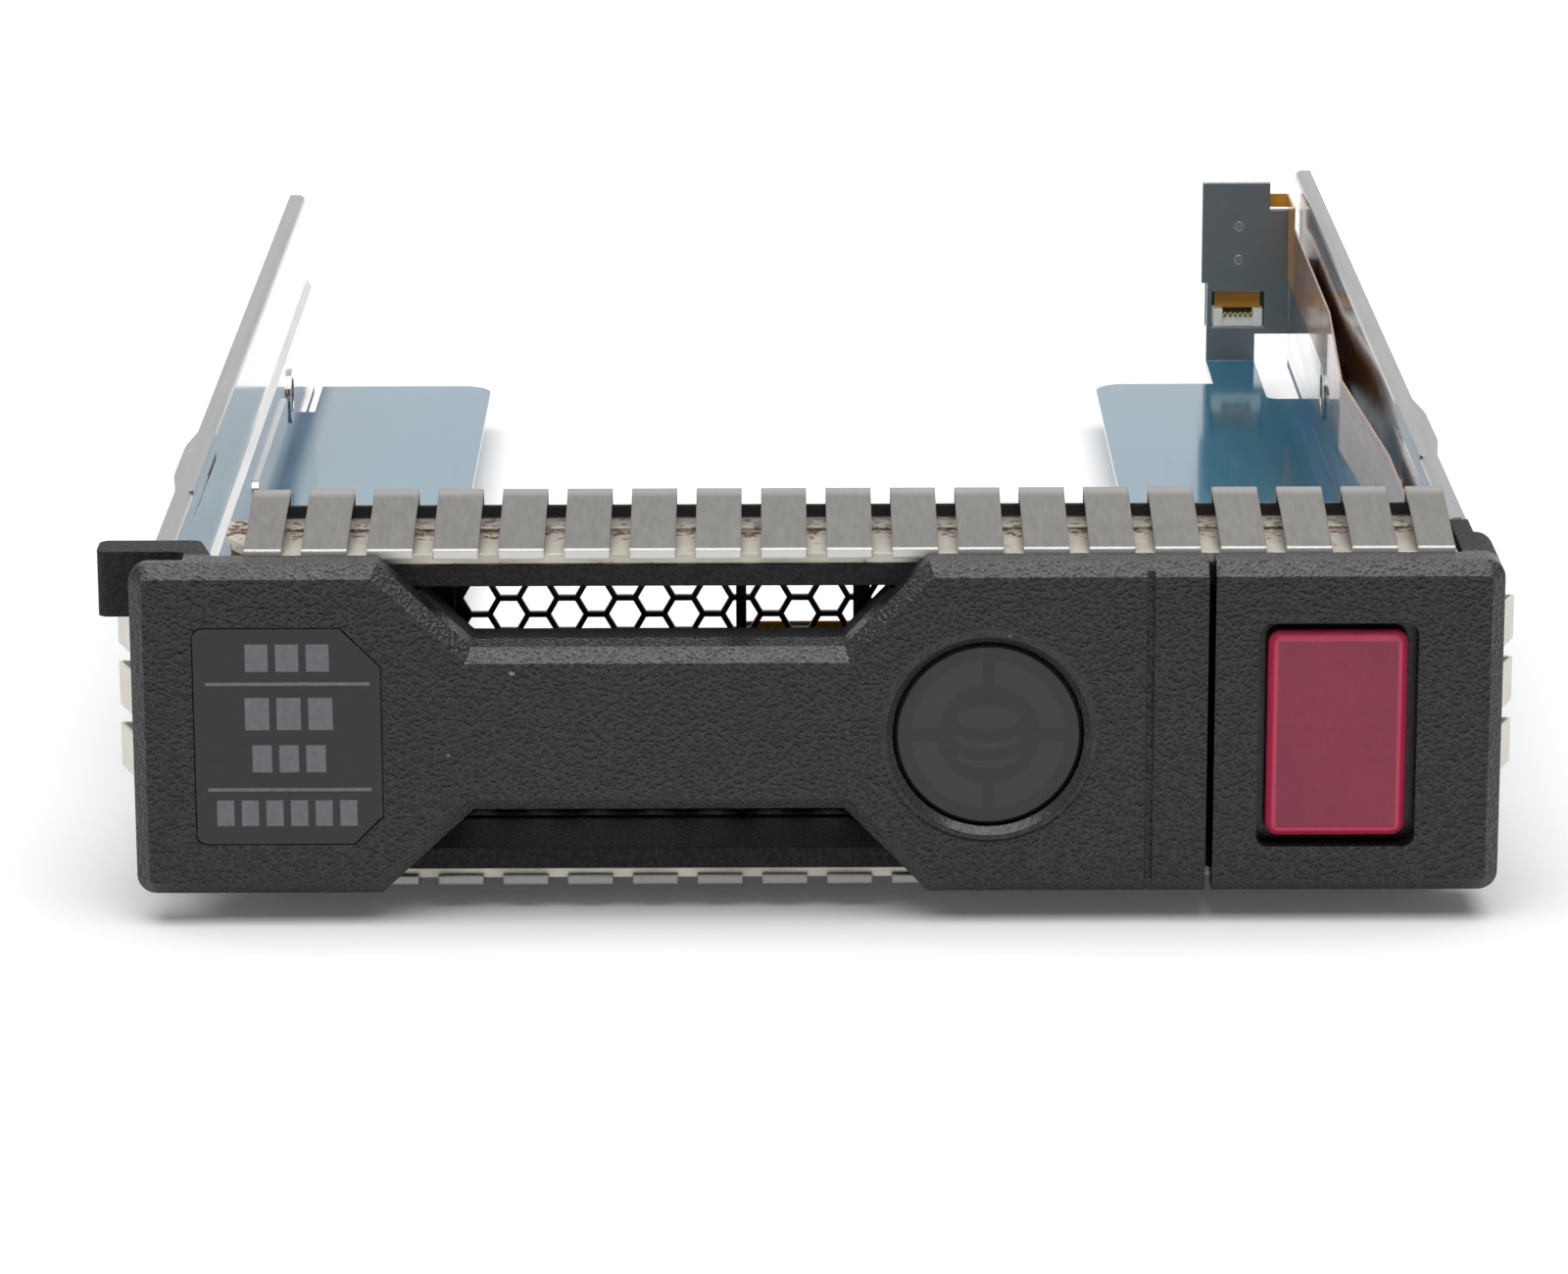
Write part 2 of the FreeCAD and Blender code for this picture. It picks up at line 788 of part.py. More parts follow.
def make_button():
    body = new_body("release_button")
    cap = new_sketch(body, "XZ_Plane", s.button_inset)
    centred_box(cap, s.button_x, s.face_centre, s.button_width, s.button_height, s.button_round)
    block = pad(body, cap, s.button_depth - s.button_inset)
    dress(body, "Chamfer", block, [front_face(block, s.button_inset)], s.button_edge)
    # rim behind the skin of the end block
    rim = new_sketch(body, "XZ_Plane", s.block_skin + s.rim_play)
    rim_width = s.button_width + 2 * s.rim_width
    rim_height = s.button_height + 2 * s.rim_width
    centred_box(rim, s.button_x, s.face_centre, rim_width, rim_height)
    pad(body, rim, s.rim_thick)
    # hollow from the back, with a boss for the spring
    inside = new_sketch(body, "XZ_Plane", s.button_inset + s.button_wall)
    inner_width = s.button_width - 2 * s.button_wall
    inner_height = s.button_height - 2 * s.button_wall
    centred_box(inside, s.button_x, s.face_centre, inner_width, inner_height)
    pocket(body, inside, s.button_depth)
    boss = new_sketch(body, "XZ_Plane", s.button_inset + s.button_wall)
    circle(boss, s.button_x, s.face_centre, s.spring_boss)
    pad(body, boss, s.spring_boss_length)
    # wedge that pushes the lever's tongue aside
    wedge = new_sketch(body, "XY_Plane", s.face_centre - s.wedge_half)
    root = s.button_x - s.button_width / 2
    tip = root - s.rim_width
    rim_front = s.block_skin + s.rim_play
    outline(wedge, [
        (tip, rim_front),
        (root, rim_front),
        (root, s.button_depth),
        (tip, rim_front + s.rim_thick),
    ])
    pad(body, wedge, 2 * s.wedge_half)


def coil(label, spot, axis, plane, radius, wire, pitch, turns):
    """A wire of flat section wound about one axis of its own body."""
    body = new_body(label, *spot)
    section = new_sketch(body, plane)
    box_outline(section, radius - wire, 0, radius + wire, 2 * wire)
    winding = body.newObject("PartDesign::AdditiveHelix", f"{label}_winding")
    winding.Profile = section
    winding.ReferenceAxis = (origin_feature(body, axis), [""])
    winding.Mode = "pitch-turns-angle"
    winding.setExpression("Pitch", pitch.text)
    winding.setExpression("Turns", turns.text)
    doc.recompute()


def make_springs():
    inner = s.button_inset + s.button_wall
    free_length = web_front - inner - 2 * s.spring_wire
    spot = (s.button_x, inner, s.face_centre)
    pitch = free_length / s.spring_turns
    coil("button_spring", spot, "Y_Axis", "XY_Plane", s.spring_radius, s.spring_wire, pitch, s.spring_turns)
    spot = (-s.pin_x, s.pin_y, s.coil_low)
    radius = s.pin_radius + s.coil_wire + s.coil_play
    coil("lever_spring", spot, "Z_Axis", "XZ_Plane", radius, s.coil_wire, s.coil_pitch, s.coil_turns)


def make_pin():
    body = new_body("pivot_pin")
    section = new_sketch(body, "XY_Plane", s.pin_low)
    circle(section, -s.pin_x, s.pin_y, s.pin_radius)
    pad(body, section, s.pin_high - s.pin_low)


def hinge_lugs(body):
    """The bracket at the left and its two lugs, which hold the pin."""
    bracket = new_sketch(body, "XZ_Plane", s.bracket_front)
    box_outline(bracket, -s.base_right, base_low, -s.base_left, s.bracket_high)
    pad(body, bracket, s.base_back - s.bracket_front)
    arm = new_sketch(body, "XY_Plane", s.lug_low)
    box_outline(arm, -s.pin_x - s.lug_radius, s.pin_y, -s.pin_x + s.lug_radius, s.bracket_front)
    arm_pad = pad(body, arm, s.lug_thick)
    eye = new_sketch(body, "XY_Plane", s.lug_low)
    circle(eye, -s.pin_x, s.pin_y, s.lug_radius)
    eye_pad = pad(body, eye, s.lug_thick)
    row(body, [arm_pad, eye_pad], "Z_Axis", s.lug_high - s.lug_low, 2)
    bore = new_sketch(body, "XY_Plane", s.pin_low)
    circle(bore, -s.pin_x, s.pin_y, s.pin_radius)
    pocket(body, bore, s.pin_high - s.pin_low)


def vent_windows(sketch):
    """Three openings side by side, parted by two ribs."""
    box_outline(sketch, -s.window_left, window_low, s.rib_left, window_high)
    box_outline(sketch, s.rib_left + s.rib_left_width, window_low, s.rib_right, window_high)
    box_outline(sketch, s.rib_right + s.rib_right_width, window_low, s.window_right, window_high)


def screw_spots():
    return [(-s.screw_left, s.screw_high), (s.screw_right, s.screw_low)]


def block_section(sketch, left, low, *low_corner):
    """The end block seen from the front, with its right-hand corners rounded."""
    outline(sketch, [
        (left, low),
        (s.bezel_half, low, *low_corner),
        (s.bezel_half, s.bezel_height, s.corner_round),
        (left, s.bezel_height),
    ])


def end_block(body):
    """The right-hand block with the button's opening and the chamber behind it."""
    plate = new_sketch(body, "XZ_Plane")
    block_section(plate, block_left, 0, s.corner_round)
    face = pad(body, plate, s.base_front)
    dress(body, "Chamfer", face, rim_edges(face, block_left), s.face_chamfer)
    step = new_sketch(body, "XZ_Plane", s.lever_edge)
    box_outline(step, block_left, base_high, s.cheek_left, s.bezel_height)
    box_outline(step, block_left, 0, s.cheek_left, base_low)
    pocket(body, step, s.base_front - s.lever_edge)
    cheek = new_sketch(body, "XZ_Plane", s.base_front)
    block_section(cheek, s.cheek_left, 0, s.corner_round)
    pad(body, cheek, s.cheek_depth - s.base_front)
    # the cheek's upper part reaches back over the rail
    shoulder = new_sketch(body, "XZ_Plane", s.cheek_depth)
    block_section(shoulder, s.cheek_left, shoulder_low)
    pad(body, shoulder, s.shoulder_depth - s.cheek_depth)
    stem = new_sketch(body, "XZ_Plane", s.shoulder_depth)
    box_outline(stem, s.cheek_left, shoulder_low, s.cheek_left + s.stem_width, s.bezel_height)
    pad(body, stem, s.base_back - s.shoulder_depth)
    chamber = new_sketch(body, "XZ_Plane", s.block_skin)
    box_outline(chamber, block_left + s.block_wall, bay_low, s.cheek_left - s.block_wall, bay_high)
    pocket(body, chamber, s.base_back)
    opening = new_sketch(body, "XZ_Plane")
    width = s.button_width + 2 * s.button_play
    height = s.button_height + 2 * s.button_play
    centred_box(opening, s.button_x, s.face_centre, width, height, s.button_round)
    pocket(body, opening, s.block_skin)
    catch = new_sketch(body, "XZ_Plane", s.barb_front - s.lever_gap)
    half = s.tongue_half + s.lever_gap
    wall_right = block_left + s.block_wall
    box_outline(catch, block_left, s.face_centre - half, wall_right, s.face_centre + half)
    pocket(body, catch, s.tongue_back - s.barb_front + 2 * s.lever_gap)


def make_base():
    body = new_body("bezel_base")
    frame = new_sketch(body, "XZ_Plane", s.base_front)
    box_outline(frame, -s.base_left, base_low, s.base_right, base_high)
    pad(body, frame, s.base_back - s.base_front)
    front_bay = new_sketch(body, "XZ_Plane", s.base_front)
    box_outline(front_bay, -s.base_right, bay_low, block_left, bay_high)
    pocket(body, front_bay, s.post_front - s.base_front)
    bay = new_sketch(body, "XZ_Plane", s.post_front)
    box_outline(bay, -s.base_left + s.post_width, bay_low, block_left, bay_high)
    pocket(body, bay, s.base_back - s.panel_thick - s.post_front)
    windows = new_sketch(body, "XZ_Plane", s.base_back - s.panel_thick)
    vent_windows(windows)
    pocket(body, windows, s.panel_thick)
    light = new_sketch(body, "XZ_Plane", s.base_back - s.panel_thick)
    circle(light, s.lens_x, s.face_centre, s.guide_radius)
    pocket(body, light, s.panel_thick)
    end_block(body)
    hinge_lugs(body)
    bosses = new_sketch(body, "XZ_Plane", s.base_back - s.panel_thick - s.boss_length)
    for x, z in screw_spots():
        circle(bosses, x, z, s.boss_radius)
    pad(body, bosses, s.boss_length)
    holes = new_sketch(body, "XZ_Plane", s.base_back - s.panel_thick - s.boss_length)
    for x, z in screw_spots():
        circle(holes, x, z, s.screw_radius)
    pocket(body, holes, s.boss_length + s.panel_thick)


def make_screws():
    body = new_body("base_screws")
    shanks = new_sketch(body, "XZ_Plane", s.base_back - s.panel_thick - s.boss_length)
    heads = new_sketch(body, "XZ_Plane", web_back)
    for x, z in screw_spots():
        circle(shanks, x, z, s.screw_radius)
        circle(heads, x, z, s.screw_head)
    pad(body, shanks, web_back - (s.base_back - s.panel_thick - s.boss_length))
    pad(body, heads, s.screw_head_height)


def make_grille():
    body = new_body("vent_grille")
    plate = new_sketch(body, "XZ_Plane", s.base_back)
    low = window_low - s.grille_edge
    high = window_high + s.grille_edge
    right = s.window_right + s.grille_edge
    box_outline(plate, -s.window_left - s.grille_edge, low, right, high)
    pad(body, plate, s.grille_sheet)
    notch = new_sketch(body, "XZ_Plane", s.base_back)
    half = s.guide_radius + s.guide_play
    box_outline(notch, s.lens_x - half, s.face_centre - half, right, s.face_centre + half)
    pocket(body, notch, s.grille_sheet)
    holes = new_sketch(body, "XZ_Plane", s.base_back)
    reach = s.hex_flats / math.sqrt(3)
    column = s.hex_pitch * math.sqrt(3) / 2
    first_x = s.hex_start_x - s.window_left
    first_z = window_low + s.hex_start_z
    for x, z in ((first_x, first_z), (first_x + column, first_z + s.hex_pitch / 2)):
        outline(holes, [
            (x - reach, z),
            (x - reach / 2, z - s.hex_flats / 2),
            (x + reach / 2, z - s.hex_flats / 2),
            (x + reach, z),
            (x + reach / 2, z + s.hex_flats / 2),
            (x - reach / 2, z + s.hex_flats / 2),
        ])
    pair = pocket(body, holes, s.grille_sheet)
    columns = ((s.window_right - first_x - column - reach) / (2 * column)).whole() + 1
    rows = ((window_high - first_z - (s.hex_pitch + s.hex_flats) / 2) / s.hex_pitch).whole() + 1
    row(body, [pair], "X_Axis", 2 * column, columns, ("Z_Axis", s.hex_pitch, rows))


def make_channel():
    body = new_body("front_channel")
    web = new_sketch(body, "XZ_Plane", web_front)
    box_outline(web, -s.bay_half, steel_low, s.bay_half, steel_high)
    pad(body, web, s.sheet)
    for level in (steel_low, steel_high - s.sheet):
        flange = new_sketch(body, "XY_Plane", level)
        outline(flange, [
            (-s.flange_left, web_front),
            (-s.flange_left, s.flange_corner_y),
            (-s.flange_corner_x, s.flange_front),
            (s.flange_right, s.flange_front),
            (s.flange_right, web_front),
        ])
        pad(body, flange, s.sheet)
    for left in (-s.bay_half, s.bay_half - s.sheet):
        ear = new_sketch(body, "YZ_Plane", left)
        box_outline(ear, s.ear_front, s.ear_low, web_front, s.ear_high)
        pad(body, ear, s.sheet)
    openings = new_sketch(body, "XZ_Plane", web_front)
    light_radius = s.guide_radius + s.guide_play
    vent_right = s.lens_x - light_radius - s.sheet
    box_outline(openings, -s.window_left, window_low, vent_right, window_high)
    circle(openings, s.lens_x, s.face_centre, light_radius)
    for x, z in screw_spots():
        circle(openings, x, z, s.screw_radius + s.screw_play)
    pocket(body, openings, s.sheet)
    # the web stops short of the hook's path
    relief = new_sketch(body, "XZ_Plane", web_front)
    box_outline(relief, -s.bay_half, s.rail_step_top, -s.flange_left, steel_high)
    pocket(body, relief, s.sheet)
    rivets = new_sketch(body, "YZ_Plane", -s.bay_half)
    circle(rivets, s.rivet_y, s.rivet_z, s.rivet_radius)
    pocket(body, rivets, 2 * s.bay_half)


def make_strip(label, level):
    """A spring strip on one flange; the level turns a height on the upper flange into this one's."""
    body = new_body(label)
    back = web_back
    inner_back = back - s.finger_sheet
    seat = steel_high
    crest = seat + s.crest_rise
    crest_y = back - s.crest_blunt
    lip = s.flange_front - s.lip_gap - s.finger_sheet
    inner_lip = lip + s.finger_sheet
    lip_top = seat + s.lip_gap + s.finger_sheet
    rail_top = seat + s.strip_rail
    foot = new_sketch(body, "YZ_Plane", -s.strip_left)
    outline(foot, [
        (s.strip_foot, level(seat)),
        (back, level(seat)),
        (back, level(rail_top)),
        (inner_back, level(rail_top)),
        (inner_back, level(seat + s.finger_sheet)),
        (s.strip_foot, level(seat + s.finger_sheet)),
    ])
    pad(body, foot, s.strip_left + s.strip_right)

    def finger(left, width):
        profile = new_sketch(body, "YZ_Plane", left)
        outline(profile, [
            (back, level(rail_top - s.finger_sheet)),
            (back, level(crest - s.crest_blunt)),
            (crest_y, level(crest)),
            (lip, level(lip_top)),
            (lip, level(lip_top - s.lip_drop)),
            (inner_lip, level(lip_top - s.lip_drop)),
            (inner_lip, level(lip_top - s.finger_sheet)),
            (crest_y - bend_corner, level(crest - s.finger_sheet)),
            (inner_back, level(crest - s.crest_blunt - bend_corner)),
            (inner_back, level(rail_top - s.finger_sheet)),
        ])
        return pad(body, profile, width)

    finger(-s.strip_left, s.end_finger_width)
    finger(s.strip_right - s.end_finger_width, s.end_finger_width)
    one = finger(s.finger_first, s.finger_width)
    row(body, [one], "X_Axis", s.finger_pitch, s.finger_count)


def make_side_spring(label, side):
    """A row of fingers on the outside of one rail, in front of its top lip."""
    body = new_body(label)

    def out(distance):
        return (side_seat + distance) * side

    height = s.finger_pitch * (s.side_count - 1) + s.finger_width
    foot = new_sketch(body, "XY_Plane", s.side_low)
    box_outline(foot, out(0), s.side_foot, out(s.finger_sheet), s.side_back)
    pad(body, foot, height)
    profile = new_sketch(body, "XY_Plane", s.side_low)
    inner_back = s.side_back - s.finger_sheet
    crest_y = s.side_back - s.crest_blunt
    lip = s.side_front - s.finger_sheet
    lip_out = s.lip_gap + s.finger_sheet
    outline(profile, [
        (out(0), s.side_back),
        (out(s.side_rise - s.crest_blunt), s.side_back),
        (out(s.side_rise), crest_y),
        (out(lip_out), lip),
        (out(lip_out - s.lip_drop), lip),
        (out(lip_out - s.lip_drop), s.side_front),
        (out(s.lip_gap), s.side_front),
        (out(s.side_rise - s.finger_sheet), crest_y - bend_corner),
        (out(s.side_rise - s.crest_blunt - bend_corner), inner_back),
        (out(0), inner_back),
    ])
    one = pad(body, profile, s.finger_width)
    row(body, [one], "Z_Axis", s.finger_pitch, s.side_count)


def rail_section(sketch, side):
    """The folded wall seen from the front: straight below, joggled outwards above, lip on top."""
    inner = s.bay_half * side
    outer = (s.bay_half + s.sheet) * side
    upper_inner = upper_half * side
    upper_outer = (upper_half + s.sheet) * side
    lip = (upper_half + s.lip_width) * side
    joggle_top = s.joggle_z + s.joggle_run
    outline(sketch, [
        (outer, s.rail_bottom, s.bend_round),
        (inner, s.rail_bottom),
        (inner, s.joggle_z),
        (upper_inner, joggle_top),
        (upper_inner, s.rail_top, s.bend_round),
        (lip, s.rail_top),
        (lip, s.rail_top - s.sheet),
        (upper_outer, s.rail_top - s.sheet),
        (upper_outer, joggle_top),
        (outer, s.joggle_z),
    ])


def wall_cut(body, side, draw):
    """Cuts what draw puts on a sketch through one rail's wall."""
    reach = upper_half + s.lip_width
    start = -reach if side < 0 else reach - 2 * s.lip_width - s.sheet
    cut = new_sketch(body, "YZ_Plane", start)
    draw(cut)
    pocket(body, cut, 2 * s.lip_width + s.sheet)


def drive_holes():
    first = s.drive_front + s.drive_hole_first
    return [first, first + s.drive_hole_pitch]


def make_rail(label, side, floor_edge, wall_end, bump_first):
    body = new_body(label)
    section = new_sketch(body, "XZ_Plane", s.rail_front)
    rail_section(section, side)
    pad(body, section, wall_end - s.rail_front)
    floor = new_sketch(body, "XY_Plane", s.rail_bottom)
    wall = s.bay_half * side
    outline(floor, [
        (wall, s.floor_front),
        (floor_edge * side, s.floor_front, s.floor_round),
        (floor_edge * side, s.rail_end, s.floor_round),
        (wall, s.rail_end),
    ])
    pad(body, floor, s.sheet)
    bump_back = bump_first + s.bump_length
    lip = (upper_half + s.lip_width) * side
    bump = new_sketch(body, "XY_Plane", s.rail_top - s.sheet)
    quarter = s.bump_length / 4
    outline(bump, [
        (upper_half * side, bump_first),
        (lip, bump_first),
        (lip + s.bump_out * side, bump_first + quarter, s.bump_length),
        (lip + s.bump_out * side, bump_back - quarter, s.bump_length),
        (lip, bump_back),
        (upper_half * side, bump_back),
    ])
    pad(body, bump, s.sheet)

    def front_step(sketch):
        box_outline(sketch, s.rail_front, s.rail_step_top, s.rail_step_front, s.rail_top)

    def slit(sketch):
        high = s.rail_top - s.slit_drop
        box_outline(sketch, bump_first, high - s.slit_height, bump_back, high)

    def rivet_hole(sketch):
        circle(sketch, s.rivet_y, s.rivet_z, s.rivet_radius)

    for draw in (front_step, slit, rivet_hole):
        wall_cut(body, side, draw)
    # low dimples and a bead that meet the drive's side, with its screw holes
    inside = -s.bay_half if side < 0 else s.bay_half - s.dimple_height
    hole_z = floor_top + s.drive_hole_rise
    dimples = new_sketch(body, "YZ_Plane", inside)
    for y in drive_holes():
        circle(dimples, y, hole_z, s.dimple_radius)
    half = s.bead_width / 2
    bead_back = s.bead_first + s.bead_length
    box_outline(dimples, s.bead_first, hole_z - half, bead_back, hole_z + half, s.bead_round)
    pad(body, dimples, s.dimple_height)

    def screw_holes(sketch):
        for y in drive_holes():
            circle(sketch, y, hole_z, s.drive_hole_radius)

    wall_cut(body, side, screw_holes)
    return body


def make_left_rail():
    body = make_rail("left_rail", -1, s.floor_left_edge, s.rail_end, s.bump_left)
    relief = new_sketch(body, "XY_Plane", s.rail_bottom)
    wall = -s.bay_half
    box_outline(relief, wall, s.rail_end - s.relief_length, wall + s.relief_width, s.rail_end)
    pocket(body, relief, s.sheet)


def board_rivet_heights():
    return (s.board_rivet_low, s.board_rivet_low + s.board_rivet_pitch)


def make_right_rail():
    """The right rail's floor runs on into a foot, and the upright tab is folded up from it."""
    body = make_rail("right_rail", 1, s.floor_right_edge, tab_rear, s.bump_right)
    foot = new_sketch(body, "XY_Plane", s.rail_bottom)
    box_outline(foot, tab_low_left, s.rail_end - s.floor_round, s.corner_cut_left, tab_rear)
    pad(body, foot, s.sheet)
    gap = new_sketch(body, "XY_Plane", s.rail_bottom)
    gap_front = s.rail_end - s.foot_gap_length
    outline(gap, [
        (s.corner_cut_left, gap_front, s.foot_gap_round),
        (s.bay_half, gap_front),
        (s.bay_half, s.rail_end),
        (s.corner_cut_left, s.rail_end),
    ])
    pocket(body, gap, s.sheet)
    upright = new_sketch(body, "XZ_Plane", s.tab_front_y)
    outline(upright, [
        (tab_low_left, s.rail_bottom),
        (s.corner_cut_left, s.rail_bottom),
        (s.corner_cut_left, s.corner_cut_high),
        (s.bay_half, s.corner_cut_high),
        (s.bay_half, notch_floor),
        (s.bay_half - s.notch_width, notch_floor),
        (s.bay_half - s.notch_width, s.tab_top),
        (s.tab_left, s.tab_top),
        (s.tab_left, s.tab_step_z),
        (tab_low_left, s.tab_step_z),
    ])
    pad(body, upright, s.sheet)
    port = new_sketch(body, "XZ_Plane", s.tab_front_y)
    box_outline(port, s.port_left, s.port_low, s.port_right, s.port_high)
    for z in board_rivet_heights():
        circle(port, board_rivet_x, z, s.board_rivet_radius)
    pocket(body, port, s.sheet)


def make_rivets():
    body = new_body("rail_rivets")
    shank_in = s.bay_half - s.sheet
    shank_out = s.bay_half + s.sheet
    pieces = (
        (shank_in, shank_out, s.rivet_radius),
        (shank_out, shank_out + s.rivet_head_height, s.rivet_head),
    )
    for inner, outer, radius in pieces:
        for start in (-outer, inner):
            section = new_sketch(body, "YZ_Plane", start)
            circle(section, s.rivet_y, s.rivet_z, radius)
            pad(body, section, outer - inner)


def make_light_guide():
    body = new_body("light_guide")
    tube = new_sketch(body, "XZ_Plane", s.guide_front)
    circle(tube, s.lens_x, s.face_centre, s.guide_radius)
    circle(tube, s.lens_x, s.face_centre, s.guide_bore)
    pad(body, tube, web_back - s.led_height - s.guide_play - s.guide_front)


def make_led_board():
    body = new_body("led_board")
    plate = new_sketch(body, "XZ_Plane", web_back)
    width = 2 * s.board_half_width
    height = 2 * s.board_half_height
    centred_box(plate, s.lens_x, s.face_centre, width, height)
    pad(body, plate, s.board_thick)
    lights = new_body("status_leds")
    chips = new_sketch(lights, "XZ_Plane", web_back - s.led_height)
    for x in (s.lens_x - s.led_offset, s.lens_x + s.led_offset):
        for z in (s.face_centre - s.led_offset, s.face_centre + s.led_offset):
            centred_box(chips, x, z, s.led_size, s.led_size)
    pad(lights, chips, s.led_height)


def make_cable():
    """Flat cable from the lights along the right wall, through the tab's notch and down to its connector."""
    body = new_body("flex_cable")
    front = web_back + s.board_thick
    wall = s.bay_half - s.cable_wall_gap
    bow_mid = s.cable_bow_front + s.cable_bow_length / 2
    bow_back = s.cable_bow_front + s.cable_bow_length
    end = s.tab_front_y - s.cable_end_gap
    inner = wall - s.cable_thick
    inner_front = front + s.cable_thick
    ribbon = new_sketch(body, "XY_Plane", s.cable_low)
    outline(ribbon, [
        (s.cable_start, front),
        (wall, front, s.cable_bend + s.cable_thick),
        (wall, s.cable_bow_front),
        (wall - s.cable_bow, bow_mid),
        (wall, bow_back),
        (wall, end),
        (inner, end),
        (inner, bow_back),
        (inner - s.cable_bow, bow_mid),
        (inner, s.cable_bow_front),
        (inner, inner_front, s.cable_bend),
        (s.cable_start, inner_front),
    ])
    pad(body, ribbon, s.cable_high - s.cable_low)
    # narrow neck that rises to the notch and passes the tab
    back = tab_rear + s.board_gap / 2
    neck_low = notch_floor + s.cable_wall_gap
    neck_high = neck_low + s.neck_height
    neck = new_sketch(body, "YZ_Plane", inner)
    outline(neck, [
        (end - s.neck_length, s.cable_low),
        (end, s.cable_low),
        (end, neck_low),
        (back, neck_low),
        (back, neck_high),
        (end - s.neck_length, neck_high),
    ])
    pad(body, neck, s.cable_thick)
    # behind the tab: across to the left and down to the connector, with holes for the board's collars
    tail = new_sketch(body, "XZ_Plane", back - s.cable_thick)
    outline(tail, [
        (s.tail_left, s.connector_high),
        (s.tail_right, s.connector_high),
        (s.tail_right, neck_low),
        (wall, neck_low),
        (wall, neck_high),
        (s.tail_left, neck_high),
    ])
    for z in board_rivet_heights():
        circle(tail, board_rivet_x, z, s.board_rivet_collar + s.collar_play)
    pad(body, tail, s.cable_thick)


def make_contacts():
    body = new_body("contact_board")
    plate = new_sketch(body, "XZ_Plane", board_front)
    box_outline(plate, tab_low_left, s.board_low, s.board_right, s.board_high)
    for z in board_rivet_heights():
        circle(plate, board_rivet_x, z, s.board_rivet_radius)
    pad(body, plate, s.board_thick)
    pads = new_body("contact_pads")
    first = new_sketch(pads, "XZ_Plane", board_rear)
    right = s.pad_first + s.pad_width
    box_outline(first, s.pad_first, s.pad_low, right, s.pad_low + s.pad_height)
    one = pad(pads, first, s.pad_thick)
    row(pads, [one], "X_Axis", s.pad_pitch, s.pad_count)
    socket = new_body("flex_connector")
    block = new_sketch(socket, "XZ_Plane", s.connector_front)
    left = s.port_left + s.connector_inset
    right = s.port_right - s.connector_inset
    box_outline(block, left, s.connector_low, right, s.connector_high)
    pad(socket, block, board_front - s.connector_front)


def make_board_rivets():
    """Rivets flush with the tab's front and the board's back, with a collar between the two."""
    body = new_body("board_rivets")
    lengths = (
        (s.tab_front_y, board_rear, s.board_rivet_radius),
        (tab_rear, board_front, s.board_rivet_collar),
    )
    for front, back, radius in lengths:
        section = new_sketch(body, "XZ_Plane", front)
        for z in board_rivet_heights():
            circle(section, board_rivet_x, z, radius)
        pad(body, section, back - front)


make_lever()
make_lens()
make_label()
make_button()
make_springs()
make_pin()
make_base()
make_screws()
make_grille()
make_channel()
make_strip("top_spring_strip", lambda z: z)
make_strip("bottom_spring_strip", lambda z: s.bezel_height - z)
make_side_spring("left_side_spring", -1)
make_side_spring("right_side_spring", 1)
make_left_rail()
make_right_rail()
make_rivets()
make_light_guide()
make_led_board()
make_cable()
make_contacts()
make_board_rivets()

doc.recompute()
for item in doc.Objects:
    if {"Invalid", "Error"} & set(item.State):
        raise RuntimeError(f"{item.Name} failed: {item.State}")
for part in parts:
    if part.Shape.isNull() or not part.Shape.isValid():
        raise RuntimeError(f"{part.Label} has no valid shape")
os.makedirs("parts", exist_ok=True)
for part in parts:
    part.Shape.exportStep(f"parts/{part.Label}.step")
    print(part.Label, len(part.Shape.Solids), round(part.Shape.Volume, 1))
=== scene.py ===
import math

import bmesh
import bpy
from mathutils import Matrix, Vector


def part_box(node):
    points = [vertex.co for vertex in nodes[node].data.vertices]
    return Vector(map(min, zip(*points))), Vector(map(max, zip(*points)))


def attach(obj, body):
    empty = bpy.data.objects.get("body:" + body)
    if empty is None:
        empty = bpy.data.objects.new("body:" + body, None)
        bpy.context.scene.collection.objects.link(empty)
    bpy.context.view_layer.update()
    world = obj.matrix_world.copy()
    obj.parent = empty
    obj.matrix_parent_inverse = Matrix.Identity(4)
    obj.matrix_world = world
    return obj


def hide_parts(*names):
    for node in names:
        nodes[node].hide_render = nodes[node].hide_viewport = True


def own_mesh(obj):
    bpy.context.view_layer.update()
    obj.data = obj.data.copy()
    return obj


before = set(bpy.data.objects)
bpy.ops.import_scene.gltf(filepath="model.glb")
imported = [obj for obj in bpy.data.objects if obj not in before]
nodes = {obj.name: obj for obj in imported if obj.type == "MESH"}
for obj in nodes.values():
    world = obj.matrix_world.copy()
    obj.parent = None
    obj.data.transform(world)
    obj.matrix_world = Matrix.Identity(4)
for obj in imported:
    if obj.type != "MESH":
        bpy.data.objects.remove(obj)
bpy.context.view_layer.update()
scene = bpy.context.scene
scene.view_settings.view_transform = "Standard"
mm = 0.001
unit = (0.0, 1.0)
noiseReach = (0.3, 0.7)  # nearly all of a noise lies in here
noiseCore = (0.35, 0.65)
print("frame loaded,", len(nodes), "nodes")


# small helpers for node trees

def addNode(tree, kind, inputs=None, **settings):
    node = tree.nodes.new(kind)
    for key, value in settings.items():
        setattr(node, key, value)
    for key, value in (inputs or {}).items():
        if isinstance(value, bpy.types.NodeSocket):
            tree.links.new(value, node.inputs[key])
        else:
            node.inputs[key].default_value = value
    return node


def calc(tree, operation, first, second=0.0):
    node = addNode(tree, "ShaderNodeMath", {0: first, 1: second}, operation=operation)
    return node.outputs[0]


def plus(tree, first, second):
    return calc(tree, "ADD", first, second)


def minus(tree, first, second):
    return calc(tree, "SUBTRACT", first, second)


